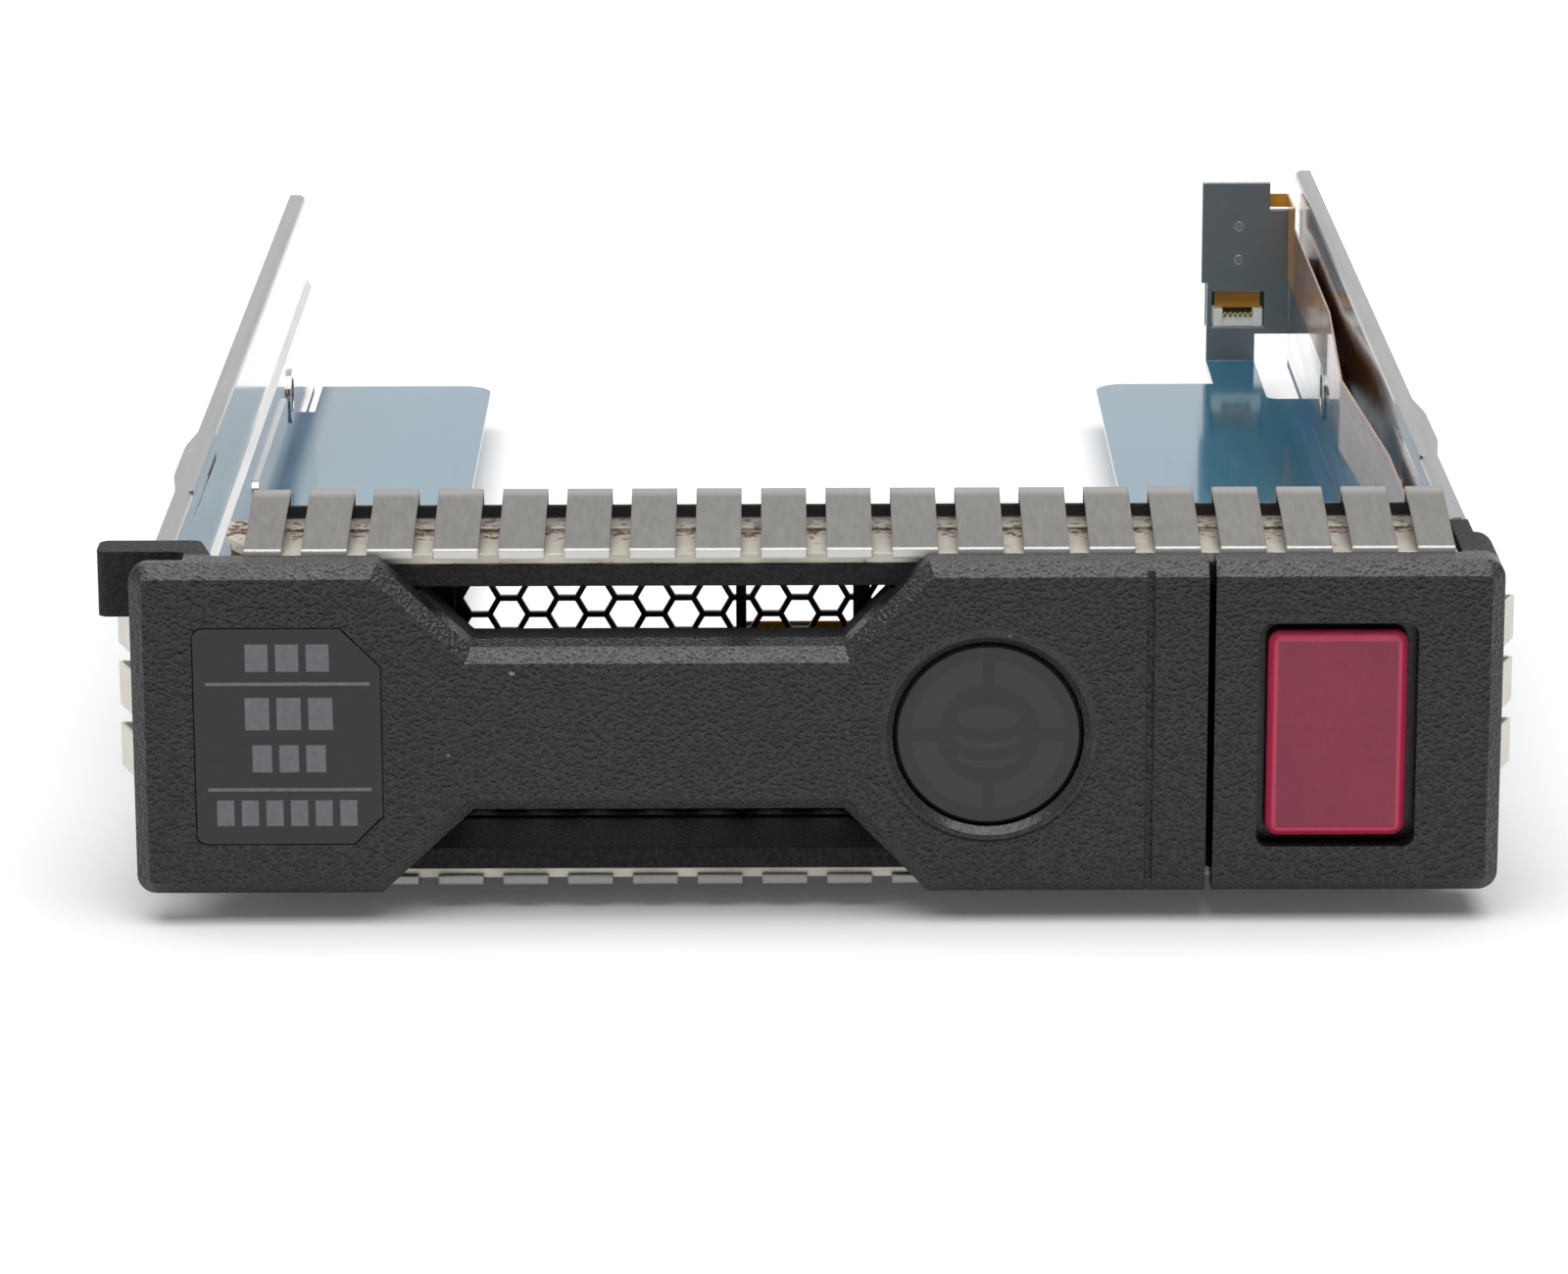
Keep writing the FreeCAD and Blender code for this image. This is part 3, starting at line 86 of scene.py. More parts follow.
def times(tree, first, second):
    return calc(tree, "MULTIPLY", first, second)


def larger(tree, first, second):
    return calc(tree, "MAXIMUM", first, second)


def squaresOf(tree, first, second):
    return plus(tree, times(tree, first, first), times(tree, second, second))


def noise(tree, where, scale, detail, rough=0.5):
    values = {"Vector": where, "Scale": scale, "Detail": detail, "Roughness": rough}
    return addNode(tree, "ShaderNodeTexNoise", values).outputs["Fac"]


def drawnNoise(tree, where, stretch, detail, rough=0.5):
    node = addNode(tree, "ShaderNodeMapping", {"Vector": where, "Scale": stretch})
    return noise(tree, node.outputs["Vector"], 1.0, detail, rough)


def remap(tree, value, span, onto=unit, smooth=False):
    values = {"Value": value, "From Min": span[0], "From Max": span[1], "To Min": onto[0], "To Max": onto[1]}
    kind = "SMOOTHSTEP" if smooth else "LINEAR"
    return addNode(tree, "ShaderNodeMapRange", values, interpolation_type=kind).outputs["Result"]


def spanFrom(base, pair):
    return base + pair[0], base + pair[1]


def blendColour(tree, factor, first, second):
    node = addNode(tree, "ShaderNodeMix", data_type="RGBA")
    for index, value in ((0, factor), (6, first), (7, second)):  # factor and the two colour sockets
        if isinstance(value, bpy.types.NodeSocket):
            tree.links.new(value, node.inputs[index])
        else:
            node.inputs[index].default_value = (*value, 1)
    return node.outputs[2]


def axesOf(tree, where):
    node = addNode(tree, "ShaderNodeSeparateXYZ", {"Vector": where})
    return node.outputs["X"], node.outputs["Y"], node.outputs["Z"]


def softEdge(tree, radius):
    return addNode(tree, "ShaderNodeBevel", {"Radius": radius}, samples=6).outputs["Normal"]


def bumped(tree, height, strength, depth, normal=None):
    values = {"Height": height, "Strength": strength, "Distance": depth}
    if normal is not None:
        values["Normal"] = normal
    return addNode(tree, "ShaderNodeBump", values).outputs["Normal"]


def newFinish(name):
    finish = bpy.data.materials.new(name)
    finish.use_nodes = True
    tree = finish.node_tree
    tree.nodes.clear()
    shader = addNode(tree, "ShaderNodeBsdfPrincipled")
    addNode(tree, "ShaderNodeOutputMaterial", {"Surface": shader.outputs["BSDF"]})
    where = addNode(tree, "ShaderNodeTexCoord").outputs["Object"]
    return finish, tree, shader, where


def setShader(tree, shader, **values):
    for key, value in values.items():
        socket = shader.inputs[key.replace("_", " ")]
        if isinstance(value, bpy.types.NodeSocket):
            tree.links.new(value, socket)
        elif isinstance(value, tuple):
            socket.default_value = (*value, 1)
        else:
            socket.default_value = value


def centreOf(node):
    low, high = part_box(node)
    return (low + high) / 2


def radialDistance(tree, where, centre):
    x, _, z = axesOf(tree, where)
    dx = minus(tree, x, centre.x)
    dz = minus(tree, z, centre.z)
    return calc(tree, "SQRT", squaresOf(tree, dx, dz)), dx, dz


# moulded black front: spark-eroded grain, smoother in the ring round the lens
# here and below a noise is given as scale, detail and roughness, a bump as strength and depth
frontPlastic = {
    "dark": (0.0020, 0.0021, 0.0028),
    "light": (0.0122, 0.0127, 0.0158),
    "grain": (3100.0, 1.5),
    "grainTone": (0.44, 0.60),
    "fine": (7600.0, 1.0),
    "fineShare": 0.22,
    "bump": (1.0, 0.155 * mm),
    "edge": 0.16 * mm,
    "cloud": (90.0, 4.0),
    "cloudTone": (-0.12, 0.12),
    "dust": (620.0, 1.0),
    "dustSpan": (0.80, 0.84),
    "speck": (0.30, 0.29, 0.27),
    "ringRadius": 8.3 * mm,
    "ringSoft": 0.3 * mm,
    "ringGrain": (0.25, 1.0),
    # painted shade: the plastic behind the face is given a darker colour
    "inside": (0.004, 0.004, 0.0045),
    "insideFrom": 3.4 * mm,
    "insideSoft": 0.6 * mm,
    "insideShadeShare": 0.9,
    "insideRough": 0.48,
    "rough": (0.40, 0.20),
    "roughSpan": (0.36, 0.64),
    "shine": 0.52,
}


def makeFrontPlastic():
    p = frontPlastic
    finish, tree, shader, where = newFinish("frontPlastic")
    grain = noise(tree, where, *p["grain"])
    fine = noise(tree, where, *p["fine"])
    height = plus(tree, grain, times(tree, fine, p["fineShare"]))
    radius, _, _ = radialDistance(tree, where, centreOf("activity_lens"))
    ringEdge = (p["ringRadius"], p["ringRadius"] + p["ringSoft"])
    height = times(tree, height, remap(tree, radius, ringEdge, p["ringGrain"], smooth=True))
    normal = bumped(tree, height, *p["bump"], softEdge(tree, p["edge"]))
    cloud = remap(tree, noise(tree, where, *p["cloud"]), noiseReach, p["cloudTone"])
    tone = plus(tree, remap(tree, grain, p["grainTone"]), cloud)
    colour = blendColour(tree, tone, p["dark"], p["light"])
    dust = remap(tree, noise(tree, where, *p["dust"]), p["dustSpan"])
    colour = blendColour(tree, dust, colour, p["speck"])
    _, y, _ = axesOf(tree, where)
    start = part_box("lever")[0].y + p["insideFrom"]
    inside = remap(tree, y, (start, start + p["insideSoft"]))  # dull behind the face, and darker there as painted shade
    colour = blendColour(tree, times(tree, inside, p["insideShadeShare"]), colour, p["inside"])
    rough = remap(tree, grain, p["roughSpan"], p["rough"])
    rough = plus(tree, rough, times(tree, inside, p["insideRough"]))
    setShader(tree, shader, Base_Color=colour, Roughness=rough, Normal=normal, Specular_IOR_Level=p["shine"])
    return finish


# smoked lens with four faint light segments and a stack of discs in the middle
lensGlass = {
    "face": (0.0100, 0.0103, 0.0135),
    "segment": (0.0210, 0.0216, 0.0260),
    "ringInner": 4.0 * mm,
    "ringOuter": 5.95 * mm,
    "gap": 0.46 * mm,
    "discHalf": (2.46 * mm, 0.91 * mm),
    "discRise": (1.34 * mm, -0.26 * mm, -1.77 * mm),
    "discGap": 0.55 * mm,
    "discEdge": (1.12, 0.88),  # squared distance, 1 on the disc's outline
    "soft": 0.10 * mm,
    "mottle": (700.0, 2.0),
    "mottleShare": (0.75, 1.0),
    "rough": (0.34, 0.42),
    "grain": (2600.0, 2.0),
    "bump": (0.35, 0.03 * mm),
    "edge": 0.15 * mm,
    "coat": 0.12,
    "coatRough": 0.15,
}


def discField(tree, dx, dz, rise):
    wide, tall = lensGlass["discHalf"]
    across = calc(tree, "DIVIDE", dx, wide)
    up = calc(tree, "DIVIDE", minus(tree, dz, rise), tall)
    return remap(tree, squaresOf(tree, across, up), lensGlass["discEdge"])


def makeLensGlass():
    p = lensGlass
    finish, tree, shader, where = newFinish("lensGlass")
    radius, dx, dz = radialDistance(tree, where, centreOf("activity_lens"))
    inside = remap(tree, radius, (p["ringInner"] - p["soft"], p["ringInner"] + p["soft"]))
    outside = remap(tree, radius, (p["ringOuter"] + p["soft"], p["ringOuter"] - p["soft"]))
    field = times(tree, inside, outside)
    for offset in (dx, dz):
        clear = remap(tree, calc(tree, "ABSOLUTE", offset), (p["gap"], p["gap"] + p["soft"]))
        field = times(tree, field, clear)
    for index, rise in enumerate(p["discRise"]):
        disc = discField(tree, dx, dz, rise)
        if index:  # a lower disc shows only below the one above it
            cover = discField(tree, dx, dz, rise + p["discGap"])
            disc = times(tree, disc, minus(tree, 1.0, cover))
        field = larger(tree, field, disc)
    mottle = noise(tree, where, *p["mottle"])
    shown = times(tree, field, remap(tree, mottle, noiseReach, p["mottleShare"]))
    colour = blendColour(tree, shown, p["face"], p["segment"])
    rough = remap(tree, mottle, noiseReach, p["rough"])
    normal = bumped(tree, noise(tree, where, *p["grain"]), *p["bump"], softEdge(tree, p["edge"]))
    setShader(tree, shader, Base_Color=colour, Roughness=rough, Normal=normal,
              Coat_Weight=p["coat"], Coat_Roughness=p["coatRough"])
    return finish


# dark printed film in the lever's recess
labelFilm = {
    "dark": (0.011, 0.0115, 0.014),
    "light": (0.016, 0.0165, 0.019),
    "weave": (1300.0, 2.0),
    "bump": (0.15, 0.02 * mm),
    "rough": (0.34, 0.44),
}


def makeLabelFilm():
    p = labelFilm
    finish, tree, shader, where = newFinish("labelFilm")
    weave = noise(tree, where, *p["weave"])
    colour = blendColour(tree, remap(tree, weave, noiseCore), p["dark"], p["light"])
    rough = remap(tree, weave, noiseReach, p["rough"])
    setShader(tree, shader, Base_Color=colour, Roughness=rough, Normal=bumped(tree, weave, *p["bump"]))
    return finish


# wine-red button; its bright soft rim is a painted highlight along the rounded edge
buttonRed = {
    "face": (0.215, 0.012, 0.044),
    "faceHalf": (5.4 * mm, 8.25 * mm),
    # the rim colour is a painted highlight on the rounded edge
    "rim": (0.50, 0.030, 0.085),
    "rimWidth": 0.75 * mm,
    "rimSoft": 0.12 * mm,
    "rimHeight": 1.5,
    "grain": (2600.0, 2.0),
    "grainHeight": 0.9,
    "cloud": (160.0, 3.0),
    "cloudShare": (0.0, 0.10),
    "dust": (1100.0, 1.0),
    "dustSpan": (0.78, 0.83),
    "speck": (0.45, 0.25, 0.27),
    # painted shade: the sides in the gap round the button are given a near-black red
    "side": (0.020, 0.002, 0.004),
    "sideShadeFrom": (0.55 * mm, 0.8 * mm),
    "bump": (0.5, 0.05 * mm),
    "edge": 0.3 * mm,
    "rough": (0.26, 0.38),
}


def makeButtonRed():
    p = buttonRed
    finish, tree, shader, where = newFinish("buttonRed")
    low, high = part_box("release_button")
    centre = (low + high) / 2
    x, y, z = axesOf(tree, where)
    inset = None
    for axis, middle, half in ((x, centre.x, p["faceHalf"][0]), (z, centre.z, p["faceHalf"][1])):
        room = minus(tree, half, calc(tree, "ABSOLUTE", minus(tree, axis, middle)))
        inset = room if inset is None else calc(tree, "MINIMUM", inset, room)
    rim = remap(tree, inset, spanFrom(p["rimWidth"], (p["rimSoft"], -p["rimSoft"])), smooth=True)
    grain = noise(tree, where, *p["grain"])
    cloud = remap(tree, noise(tree, where, *p["cloud"]), noiseCore, p["cloudShare"])
    face = blendColour(tree, cloud, p["face"], p["rim"])
    # painted highlight round the button's face
    colour = blendColour(tree, rim, face, p["rim"])
    dust = remap(tree, noise(tree, where, *p["dust"]), p["dustSpan"])
    colour = blendColour(tree, dust, colour, p["speck"])
    # painted shade on the sides behind the face
    sides = remap(tree, y, spanFrom(low.y, p["sideShadeFrom"]))
    colour = blendColour(tree, sides, colour, p["side"])
    height = plus(tree, times(tree, rim, p["rimHeight"]), times(tree, grain, p["grainHeight"]))
    normal = bumped(tree, height, *p["bump"], softEdge(tree, p["edge"]))
    rough = remap(tree, grain, noiseReach, p["rough"])
    setShader(tree, shader, Base_Color=colour, Roughness=rough, Normal=normal)
    return finish


# satin stainless spring strips, drawn along the fingers, dull where they are seated
stripSteel = {
    "dark": (0.222, 0.213, 0.200),
    "light": (0.272, 0.262, 0.246),
    "drawn": ((2600.0, 90.0, 2600.0), 3.0, 0.6),
    "cloud": (120.0, 2.0),
    "rise": 2.65 * mm,
    "foot": (0.50, 0.46, 0.40),
    "footTop": (0.32 * mm, 0.27 * mm),
    "footFrom": (-3.9 * mm, -3.7 * mm),
    "footPlain": 0.6,
    "shade": (0.022, 0.021, 0.020),  # the upright band behind the fingers
    "bandTop": (1.34 * mm, 1.3 * mm),
    "bandFrom": (-0.31 * mm, -0.27 * mm),
    "bandTo": (-0.05 * mm, -0.10 * mm),
    "crest": (0.40, 0.385, 0.37),
    "crestFrom": (-0.32 * mm, -0.12 * mm),
    # the hem colour is a painted highlight on the rolled front edge
    "hemHighlight": (0.70, 0.69, 0.66),
    "hemTo": (0.36 * mm, 0.20 * mm),
    "hemPlain": 0.7,
    "hemHighlightShare": (0.15, 1.0),  # painted highlight, weak on the lower strip, which lies in shade, and full on the upper strip
    "upperFrom": (0.0, 1.0 * mm),
    "dirt": (0.10, 0.06, 0.035),
    "spots": (1500.0, 4.0, 0.6),
    "spotGain": (-0.2, 0.10),
    "spotSpan": (0.60, 0.70),
    "spotShare": (0.0, 0.75),
    "metal": (0.95, 0.1),
    "rough": (0.30, 0.36),
    "cloudRough": (-0.02, 0.04),
    "seatedRough": 0.15,
    "bump": (0.08, 0.02 * mm),
    "edge": 0.3 * mm,
}


def makeStripSteel():
    p = stripSteel
    finish, tree, shader, where = newFinish("stripSteel")
    low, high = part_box("top_spring_strip")
    middle = (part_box("bottom_spring_strip")[0].z + high.z) / 2
    _, y, z = axesOf(tree, where)
    away = calc(tree, "ABSOLUTE", minus(tree, z, middle))  # height above or below the tray's middle
    top = high.z - middle
    seat = top - p["rise"]
    drawn = drawnNoise(tree, where, *p["drawn"])
    cloud = noise(tree, where, *p["cloud"])
    colour = blendColour(tree, remap(tree, drawn, noiseReach), p["dark"], p["light"])
    footed = remap(tree, away, spanFrom(seat, p["footTop"]))
    footed = times(tree, footed, remap(tree, y, spanFrom(high.y, p["footFrom"])))
    colour = blendColour(tree, footed, colour, p["foot"])
    crest = remap(tree, away, spanFrom(top, p["crestFrom"]))
    colour = blendColour(tree, crest, colour, p["crest"])
    hemHighlight = remap(tree, y, spanFrom(low.y, p["hemTo"]))  # painted highlight along the front hem
    hemHighlight = times(tree, hemHighlight, remap(tree, z, spanFrom(middle, p["upperFrom"]), p["hemHighlightShare"]))
    colour = blendColour(tree, hemHighlight, colour, p["hemHighlight"])
    spots = plus(tree, noise(tree, where, *p["spots"]), remap(tree, footed, unit, p["spotGain"]))
    soil = remap(tree, spots, p["spotSpan"], p["spotShare"])
    colour = blendColour(tree, soil, colour, p["dirt"])
    banded = remap(tree, away, spanFrom(seat, p["bandTop"]))
    for side in ("bandFrom", "bandTo"):
        banded = times(tree, banded, remap(tree, y, spanFrom(high.y, p[side])))
    colour = blendColour(tree, banded, colour, p["shade"])
    rough = remap(tree, drawn, noiseReach, p["rough"])
    rough = plus(tree, rough, remap(tree, cloud, noiseCore, p["cloudRough"]))
    rough = plus(tree, rough, times(tree, larger(tree, footed, banded), p["seatedRough"]))
    plain = larger(tree, soil, larger(tree, times(tree, footed, p["footPlain"]), banded))
    plain = larger(tree, plain, times(tree, hemHighlight, p["hemPlain"]))
    metal = remap(tree, plain, unit, p["metal"])
    normal = bumped(tree, drawn, *p["bump"], softEdge(tree, p["edge"]))
    setShader(tree, shader, Base_Color=colour, Metallic=metal, Roughness=rough, Normal=normal)
    return finish


# pale plated channel sheet with rust towards its rear edge
channelSteel = {
    "plate": (0.60, 0.565, 0.49),
    "shade": (0.46, 0.425, 0.36),
    "cloud": (210.0, 4.0),
    "rust": (0.115, 0.055, 0.028),
    "rustFrom": (3.4 * mm, 6.8 * mm),
    "rustGain": (0.0, 0.20),
    "rustSpan": (0.64, 0.74),
    "spots": (1300.0, 5.0, 0.62),
    "flangeFrom": (-1.2 * mm, -0.7 * mm),
    "flangeShare": (0.25, 1.0),  # most of the rust is on the upper flange
    "metal": (0.75, 0.05),
    "rough": (0.34, 0.5),
    "rustRough": 0.35,
    "bump": (0.2, 0.03 * mm),
    "edge": 0.15 * mm,
}


def makeChannelSteel():
    p = channelSteel
    finish, tree, shader, where = newFinish("channelSteel")
    _, y, z = axesOf(tree, where)
    low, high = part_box("front_channel")
    cloud = noise(tree, where, *p["cloud"])
    colour = blendColour(tree, remap(tree, cloud, noiseCore), p["plate"], p["shade"])
    rearward = remap(tree, y, spanFrom(low.y, p["rustFrom"]), p["rustGain"])
    spots = plus(tree, noise(tree, where, *p["spots"]), rearward)
    rusty = remap(tree, spots, p["rustSpan"])
    upper = remap(tree, z, spanFrom(high.z, p["flangeFrom"]), p["flangeShare"])
    colour = blendColour(tree, times(tree, rusty, upper), colour, p["rust"])
    rough = remap(tree, cloud, noiseReach, p["rough"])
    rough = plus(tree, rough, times(tree, rusty, p["rustRough"]))
    metal = remap(tree, rusty, unit, p["metal"])
    normal = bumped(tree, spots, *p["bump"], softEdge(tree, p["edge"]))
    setShader(tree, shader, Base_Color=colour, Metallic=metal, Roughness=rough, Normal=normal)
    return finish


# bright plated rails, blue gloss on the floor flanges with painted shade beside each wall, darker and duller
# lips, a duller tab with a painted dark reflection
railSteel = {
    "sheet": 0.8 * mm,
    "bright": (0.60, 0.605, 0.61),
    "streak": (0.42, 0.425, 0.43),
    "streakSpan": (0.35, 0.7),
    "drawn": ((900.0, 60.0, 900.0), 4.0, 0.6),
    "cloud": (55.0, 4.0),
    "floorEdge": (0.06 * mm, 0.02 * mm),
    "wallGap": 0.2 * mm,
    "wallSoft": 0.4 * mm,
    "blue": (0.006, 0.130, 0.215),
    "blueWorn": (0.016, 0.158, 0.250),
    "wornSpan": (0.4, 0.7),
    # painted shade: a deeper blue beside each wall
    "blueShaded": (0.003, 0.082, 0.165),
    "wallShade": 3.4 * mm,  # width of the strip of painted shade, duller too, along each wall
    "wallShadeCore": 0.3,
    "wallShadeRough": 0.3,
    # the lips are given a darker colour
    "lipDark": (0.215, 0.218, 0.22),
    "lipDarkShare": 0.85,
    "dullRough": 0.22,
    "lipEdge": (-0.06 * mm, 0.02 * mm),
    # painted reflection: the tab is given the dark colour of the bezel's back mirrored in it
    "tab": (0.18, 0.205, 0.22),
    "tabEdge": (-0.84 * mm, -0.80 * mm),
    "tabShare": 0.9,
    "tabPlain": 0.4,
    "rough": (0.10, 0.20),
    "bump": (0.06, 0.02 * mm),
    "edge": 0.15 * mm,
    "gloss": (0.72, 0.05),
    "coatRough": 0.08,
}


def makeRailSteel():
    p = railSteel
    finish, tree, shader, where = newFinish("railSteel")
    x, y, z = axesOf(tree, where)
    low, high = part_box("left_rail")
    _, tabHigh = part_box("right_rail")
    drawn = drawnNoise(tree, where, *p["drawn"])
    cloud = noise(tree, where, *p["cloud"])
    colour = blendColour(tree, remap(tree, drawn, p["streakSpan"]), p["bright"], p["streak"])
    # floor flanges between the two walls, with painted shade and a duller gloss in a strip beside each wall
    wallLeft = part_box("left_side_spring")[1].x + p["wallGap"]
    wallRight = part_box("right_side_spring")[0].x - p["wallGap"]
    onFloor = remap(tree, z, spanFrom(low.z + p["sheet"], p["floorEdge"]))
    beside = []
    for wall, inwards in ((wallLeft, 1), (wallRight, -1)):
        onFloor = times(tree, onFloor, remap(tree, x, (wall, wall + inwards * p["wallSoft"])))
        strip = inwards * p["wallShade"]
        beside.append(remap(tree, x, spanFrom(wall, (strip, p["wallShadeCore"] * strip)), smooth=True))
    wallShade = times(tree, larger(tree, *beside), onFloor)
    blue = blendColour(tree, remap(tree, cloud, p["wornSpan"]), p["blue"], p["blueWorn"])
    blue = blendColour(tree, wallShade, blue, p["blueShaded"])
    colour = blendColour(tree, onFloor, colour, blue)
    # lips along the top, darker, and the tab at the rear with a painted dark reflection
    onLip = remap(tree, z, spanFrom(high.z - p["sheet"], p["lipEdge"]))
    colour = blendColour(tree, times(tree, onLip, p["lipDarkShare"]), colour, p["lipDark"])
    onTab = remap(tree, y, spanFrom(tabHigh.y, p["tabEdge"]))
    colour = blendColour(tree, times(tree, onTab, p["tabShare"]), colour, p["tab"])
    metal = minus(tree, 1.0, larger(tree, onFloor, times(tree, onTab, p["tabPlain"])))
    rough = remap(tree, drawn, noiseReach, p["rough"])
    rough = plus(tree, rough, times(tree, larger(tree, onLip, onTab), p["dullRough"]))
    rough = plus(tree, rough, times(tree, wallShade, p["wallShadeRough"]))
    gloss = remap(tree, wallShade, unit, p["gloss"])
    normal = bumped(tree, drawn, *p["bump"], softEdge(tree, p["edge"]))
    setShader(tree, shader, Base_Color=colour, Metallic=metal, Roughness=rough, Normal=normal,
              Coat_Weight=gloss, Coat_Roughness=p["coatRough"])
    return finish


# amber flat cable with copper tracks under the film, in painted shade (brown) along its middle and painted
# light (amber) at both ends
amberFilm = {
    # the base film colour is a painted shaded brown
    "film": (0.38, 0.145, 0.010),
    "cloud": (120.0, 3.0),
    "cloudSpan": (0.35, 0.7),
    "track": (0.21, 0.065, 0.006),
    "trackPitch": 0.75 * mm,
    "trackEdge": (0.30, 0.26),
    "trackShare": 0.8,
    "trackHeight": 0.4,
    # painted light: the lit amber of both ends
    "litEnds": (0.74, 0.34, 0.026),
    "litEndsShare": 0.75,
    "ends": (3.0 * mm, 12.0 * mm),
    "wave": ((60.0, 14.0, 240.0), 2.0),
    "waveHeight": 9.0,
    "bump": (0.3, 0.1 * mm),
    "rough": (0.22, 0.32),
    "coat": 0.6,
    "coatRough": 0.07,
}


def makeAmberFilm():
    p = amberFilm
    finish, tree, shader, where = newFinish("amberFilm")
    _, y, z = axesOf(tree, where)
    low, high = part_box("flex_cable")
    phase = calc(tree, "FRACT", calc(tree, "DIVIDE", z, p["trackPitch"]))
    track = remap(tree, calc(tree, "ABSOLUTE", minus(tree, phase, 0.5)), p["trackEdge"])
    cloud = noise(tree, where, *p["cloud"])
    film = blendColour(tree, remap(tree, cloud, p["cloudSpan"]), p["film"], p["track"])
    colour = blendColour(tree, times(tree, track, p["trackShare"]), film, p["track"])
    frontEnd, rearEnd = p["ends"]
    front = remap(tree, y, (low.y + frontEnd, low.y + frontEnd / 2))
    rear = remap(tree, y, (high.y - rearEnd, high.y - rearEnd / 2))
    litEnds = larger(tree, front, rear)  # painted light at both ends, painted shade between them
    colour = blendColour(tree, times(tree, litEnds, p["litEndsShare"]), colour, p["litEnds"])
    wave = drawnNoise(tree, where, *p["wave"])
    height = plus(tree, times(tree, track, p["trackHeight"]), times(tree, wave, p["waveHeight"]))
    normal = bumped(tree, height, *p["bump"])
    rough = remap(tree, cloud, noiseReach, p["rough"])
    setShader(tree, shader, Base_Color=colour, Roughness=rough, Normal=normal,
              Coat_Weight=p["coat"], Coat_Roughness=p["coatRough"])
    return finish


# small pieces: two tones in one noise, each with its own values
plainFinish = {"detail": (4.0, 0.55), "depth": 0.03 * mm, "edge": 0.1 * mm}
smallFinishes = {
    "springWire": {"first": (0.42, 0.42, 0.42), "second": (0.56, 0.56, 0.55), "scale": 900.0,
                   "rough": (0.22, 0.34), "metal": 1.0},
    "platedZinc": {"first": (0.48, 0.48, 0.47), "second": (0.63, 0.62, 0.59), "scale": 700.0,
                   "rough": (0.26, 0.4), "metal": 1.0, "bump": 0.15},
    "sideSteel": {"first": (0.66, 0.63, 0.57), "second": (0.76, 0.74, 0.69), "scale": 420.0,
                  "rough": (0.38, 0.5), "metal": 0.35, "bump": 0.08},
    "grilleBlack": {"first": (0.010, 0.010, 0.011), "second": (0.020, 0.020, 0.021), "scale": 1400.0,
                    "rough": (0.45, 0.6)},
    "clearMould": {"first": (0.80, 0.82, 0.83), "second": (0.88, 0.89, 0.90), "scale": 500.0,
                   "rough": (0.10, 0.2), "Transmission_Weight": 0.6, "IOR": 1.49},
    "solderMask": {"first": (0.012, 0.052, 0.030), "second": (0.020, 0.070, 0.042), "scale": 600.0,
                   "rough": (0.3, 0.42)},
    "ledChip": {"first": (0.72, 0.71, 0.60), "second": (0.82, 0.80, 0.70), "scale": 1500.0,
                "rough": (0.25, 0.4)},
    "goldPad": {"first": (0.70, 0.50, 0.20), "second": (0.82, 0.62, 0.28), "scale": 1200.0,
                "rough": (0.18, 0.3), "metal": 1.0},
    "whiteMould": {"first": (0.66, 0.66, 0.61), "second": (0.76, 0.76, 0.72), "scale": 900.0,
                   "rough": (0.35, 0.5)},
}


def makePlain(name, first, second, scale, rough, metal=0.0, bump=0.1, **extra):
    p = plainFinish
    finish, tree, shader, where = newFinish(name)
    pattern = noise(tree, where, scale, *p["detail"])
    colour = blendColour(tree, remap(tree, pattern, noiseCore), first, second)
    normal = bumped(tree, pattern, bump, p["depth"], softEdge(tree, p["edge"]))
    roughness = remap(tree, pattern, noiseReach, rough)
    setShader(tree, shader, Base_Color=colour, Metallic=metal, Roughness=roughness, Normal=normal, **extra)
    return finish


finishes = {
    "frontPlastic": makeFrontPlastic(),
    "lensGlass": makeLensGlass(),
    "labelFilm": makeLabelFilm(),
    "buttonRed": makeButtonRed(),
    "stripSteel": makeStripSteel(),
    "channelSteel": makeChannelSteel(),
    "railSteel": makeRailSteel(),
    "amberFilm": makeAmberFilm(),
}
for name, values in smallFinishes.items():
    finishes[name] = makePlain(name, **values)

finishOf = {
    "lever": "frontPlastic",
    "activity_lens": "lensGlass",
    "label": "labelFilm",
    "release_button": "buttonRed",
    "button_spring": "springWire",
    "lever_spring": "springWire",
    "pivot_pin": "platedZinc",
    "bezel_base": "frontPlastic",
    "base_screws": "platedZinc",
    "vent_grille": "grilleBlack",
    "front_channel": "channelSteel",
    "top_spring_strip": "stripSteel",
    "bottom_spring_strip": "stripSteel",
    "left_side_spring": "sideSteel",
    "right_side_spring": "sideSteel",
    "left_rail": "railSteel",
    "right_rail": "railSteel",
    "rail_rivets": "platedZinc",
    "light_guide": "clearMould",
    "led_board": "solderMask",
    "status_leds": "ledChip",
    "flex_cable": "amberFilm",
    "contact_board": "solderMask",
    "contact_pads": "goldPad",
    "flex_connector": "whiteMould",
    "board_rivets": "platedZinc",
}
for name, finishName in finishOf.items():
    mesh = nodes[name].data
    mesh.materials.clear()
    mesh.materials.append(finishes[finishName])
print("finishes set on", len(finishOf), "nodes")


# helpers for pieces that are laid out in rows by Geometry Nodes
noMove = (0.0, 0.0, 0.0)
rowInputs = (
    ("Count", "NodeSocketInt"),
    ("Start", "NodeSocketVector"),
    ("Step", "NodeSocketVector"),
    ("Turn", "NodeSocketVector"),
)


def newTree(name, inputs):
    tree = bpy.data.node_groups.new(name, "GeometryNodeTree")
    for label, kind in rowInputs + inputs:
        tree.interface.new_socket(label, in_out="INPUT", socket_type=kind)
    tree.interface.new_socket("Geometry", in_out="OUTPUT", socket_type="NodeSocketGeometry")
    return tree, addNode(tree, "NodeGroupInput").outputs


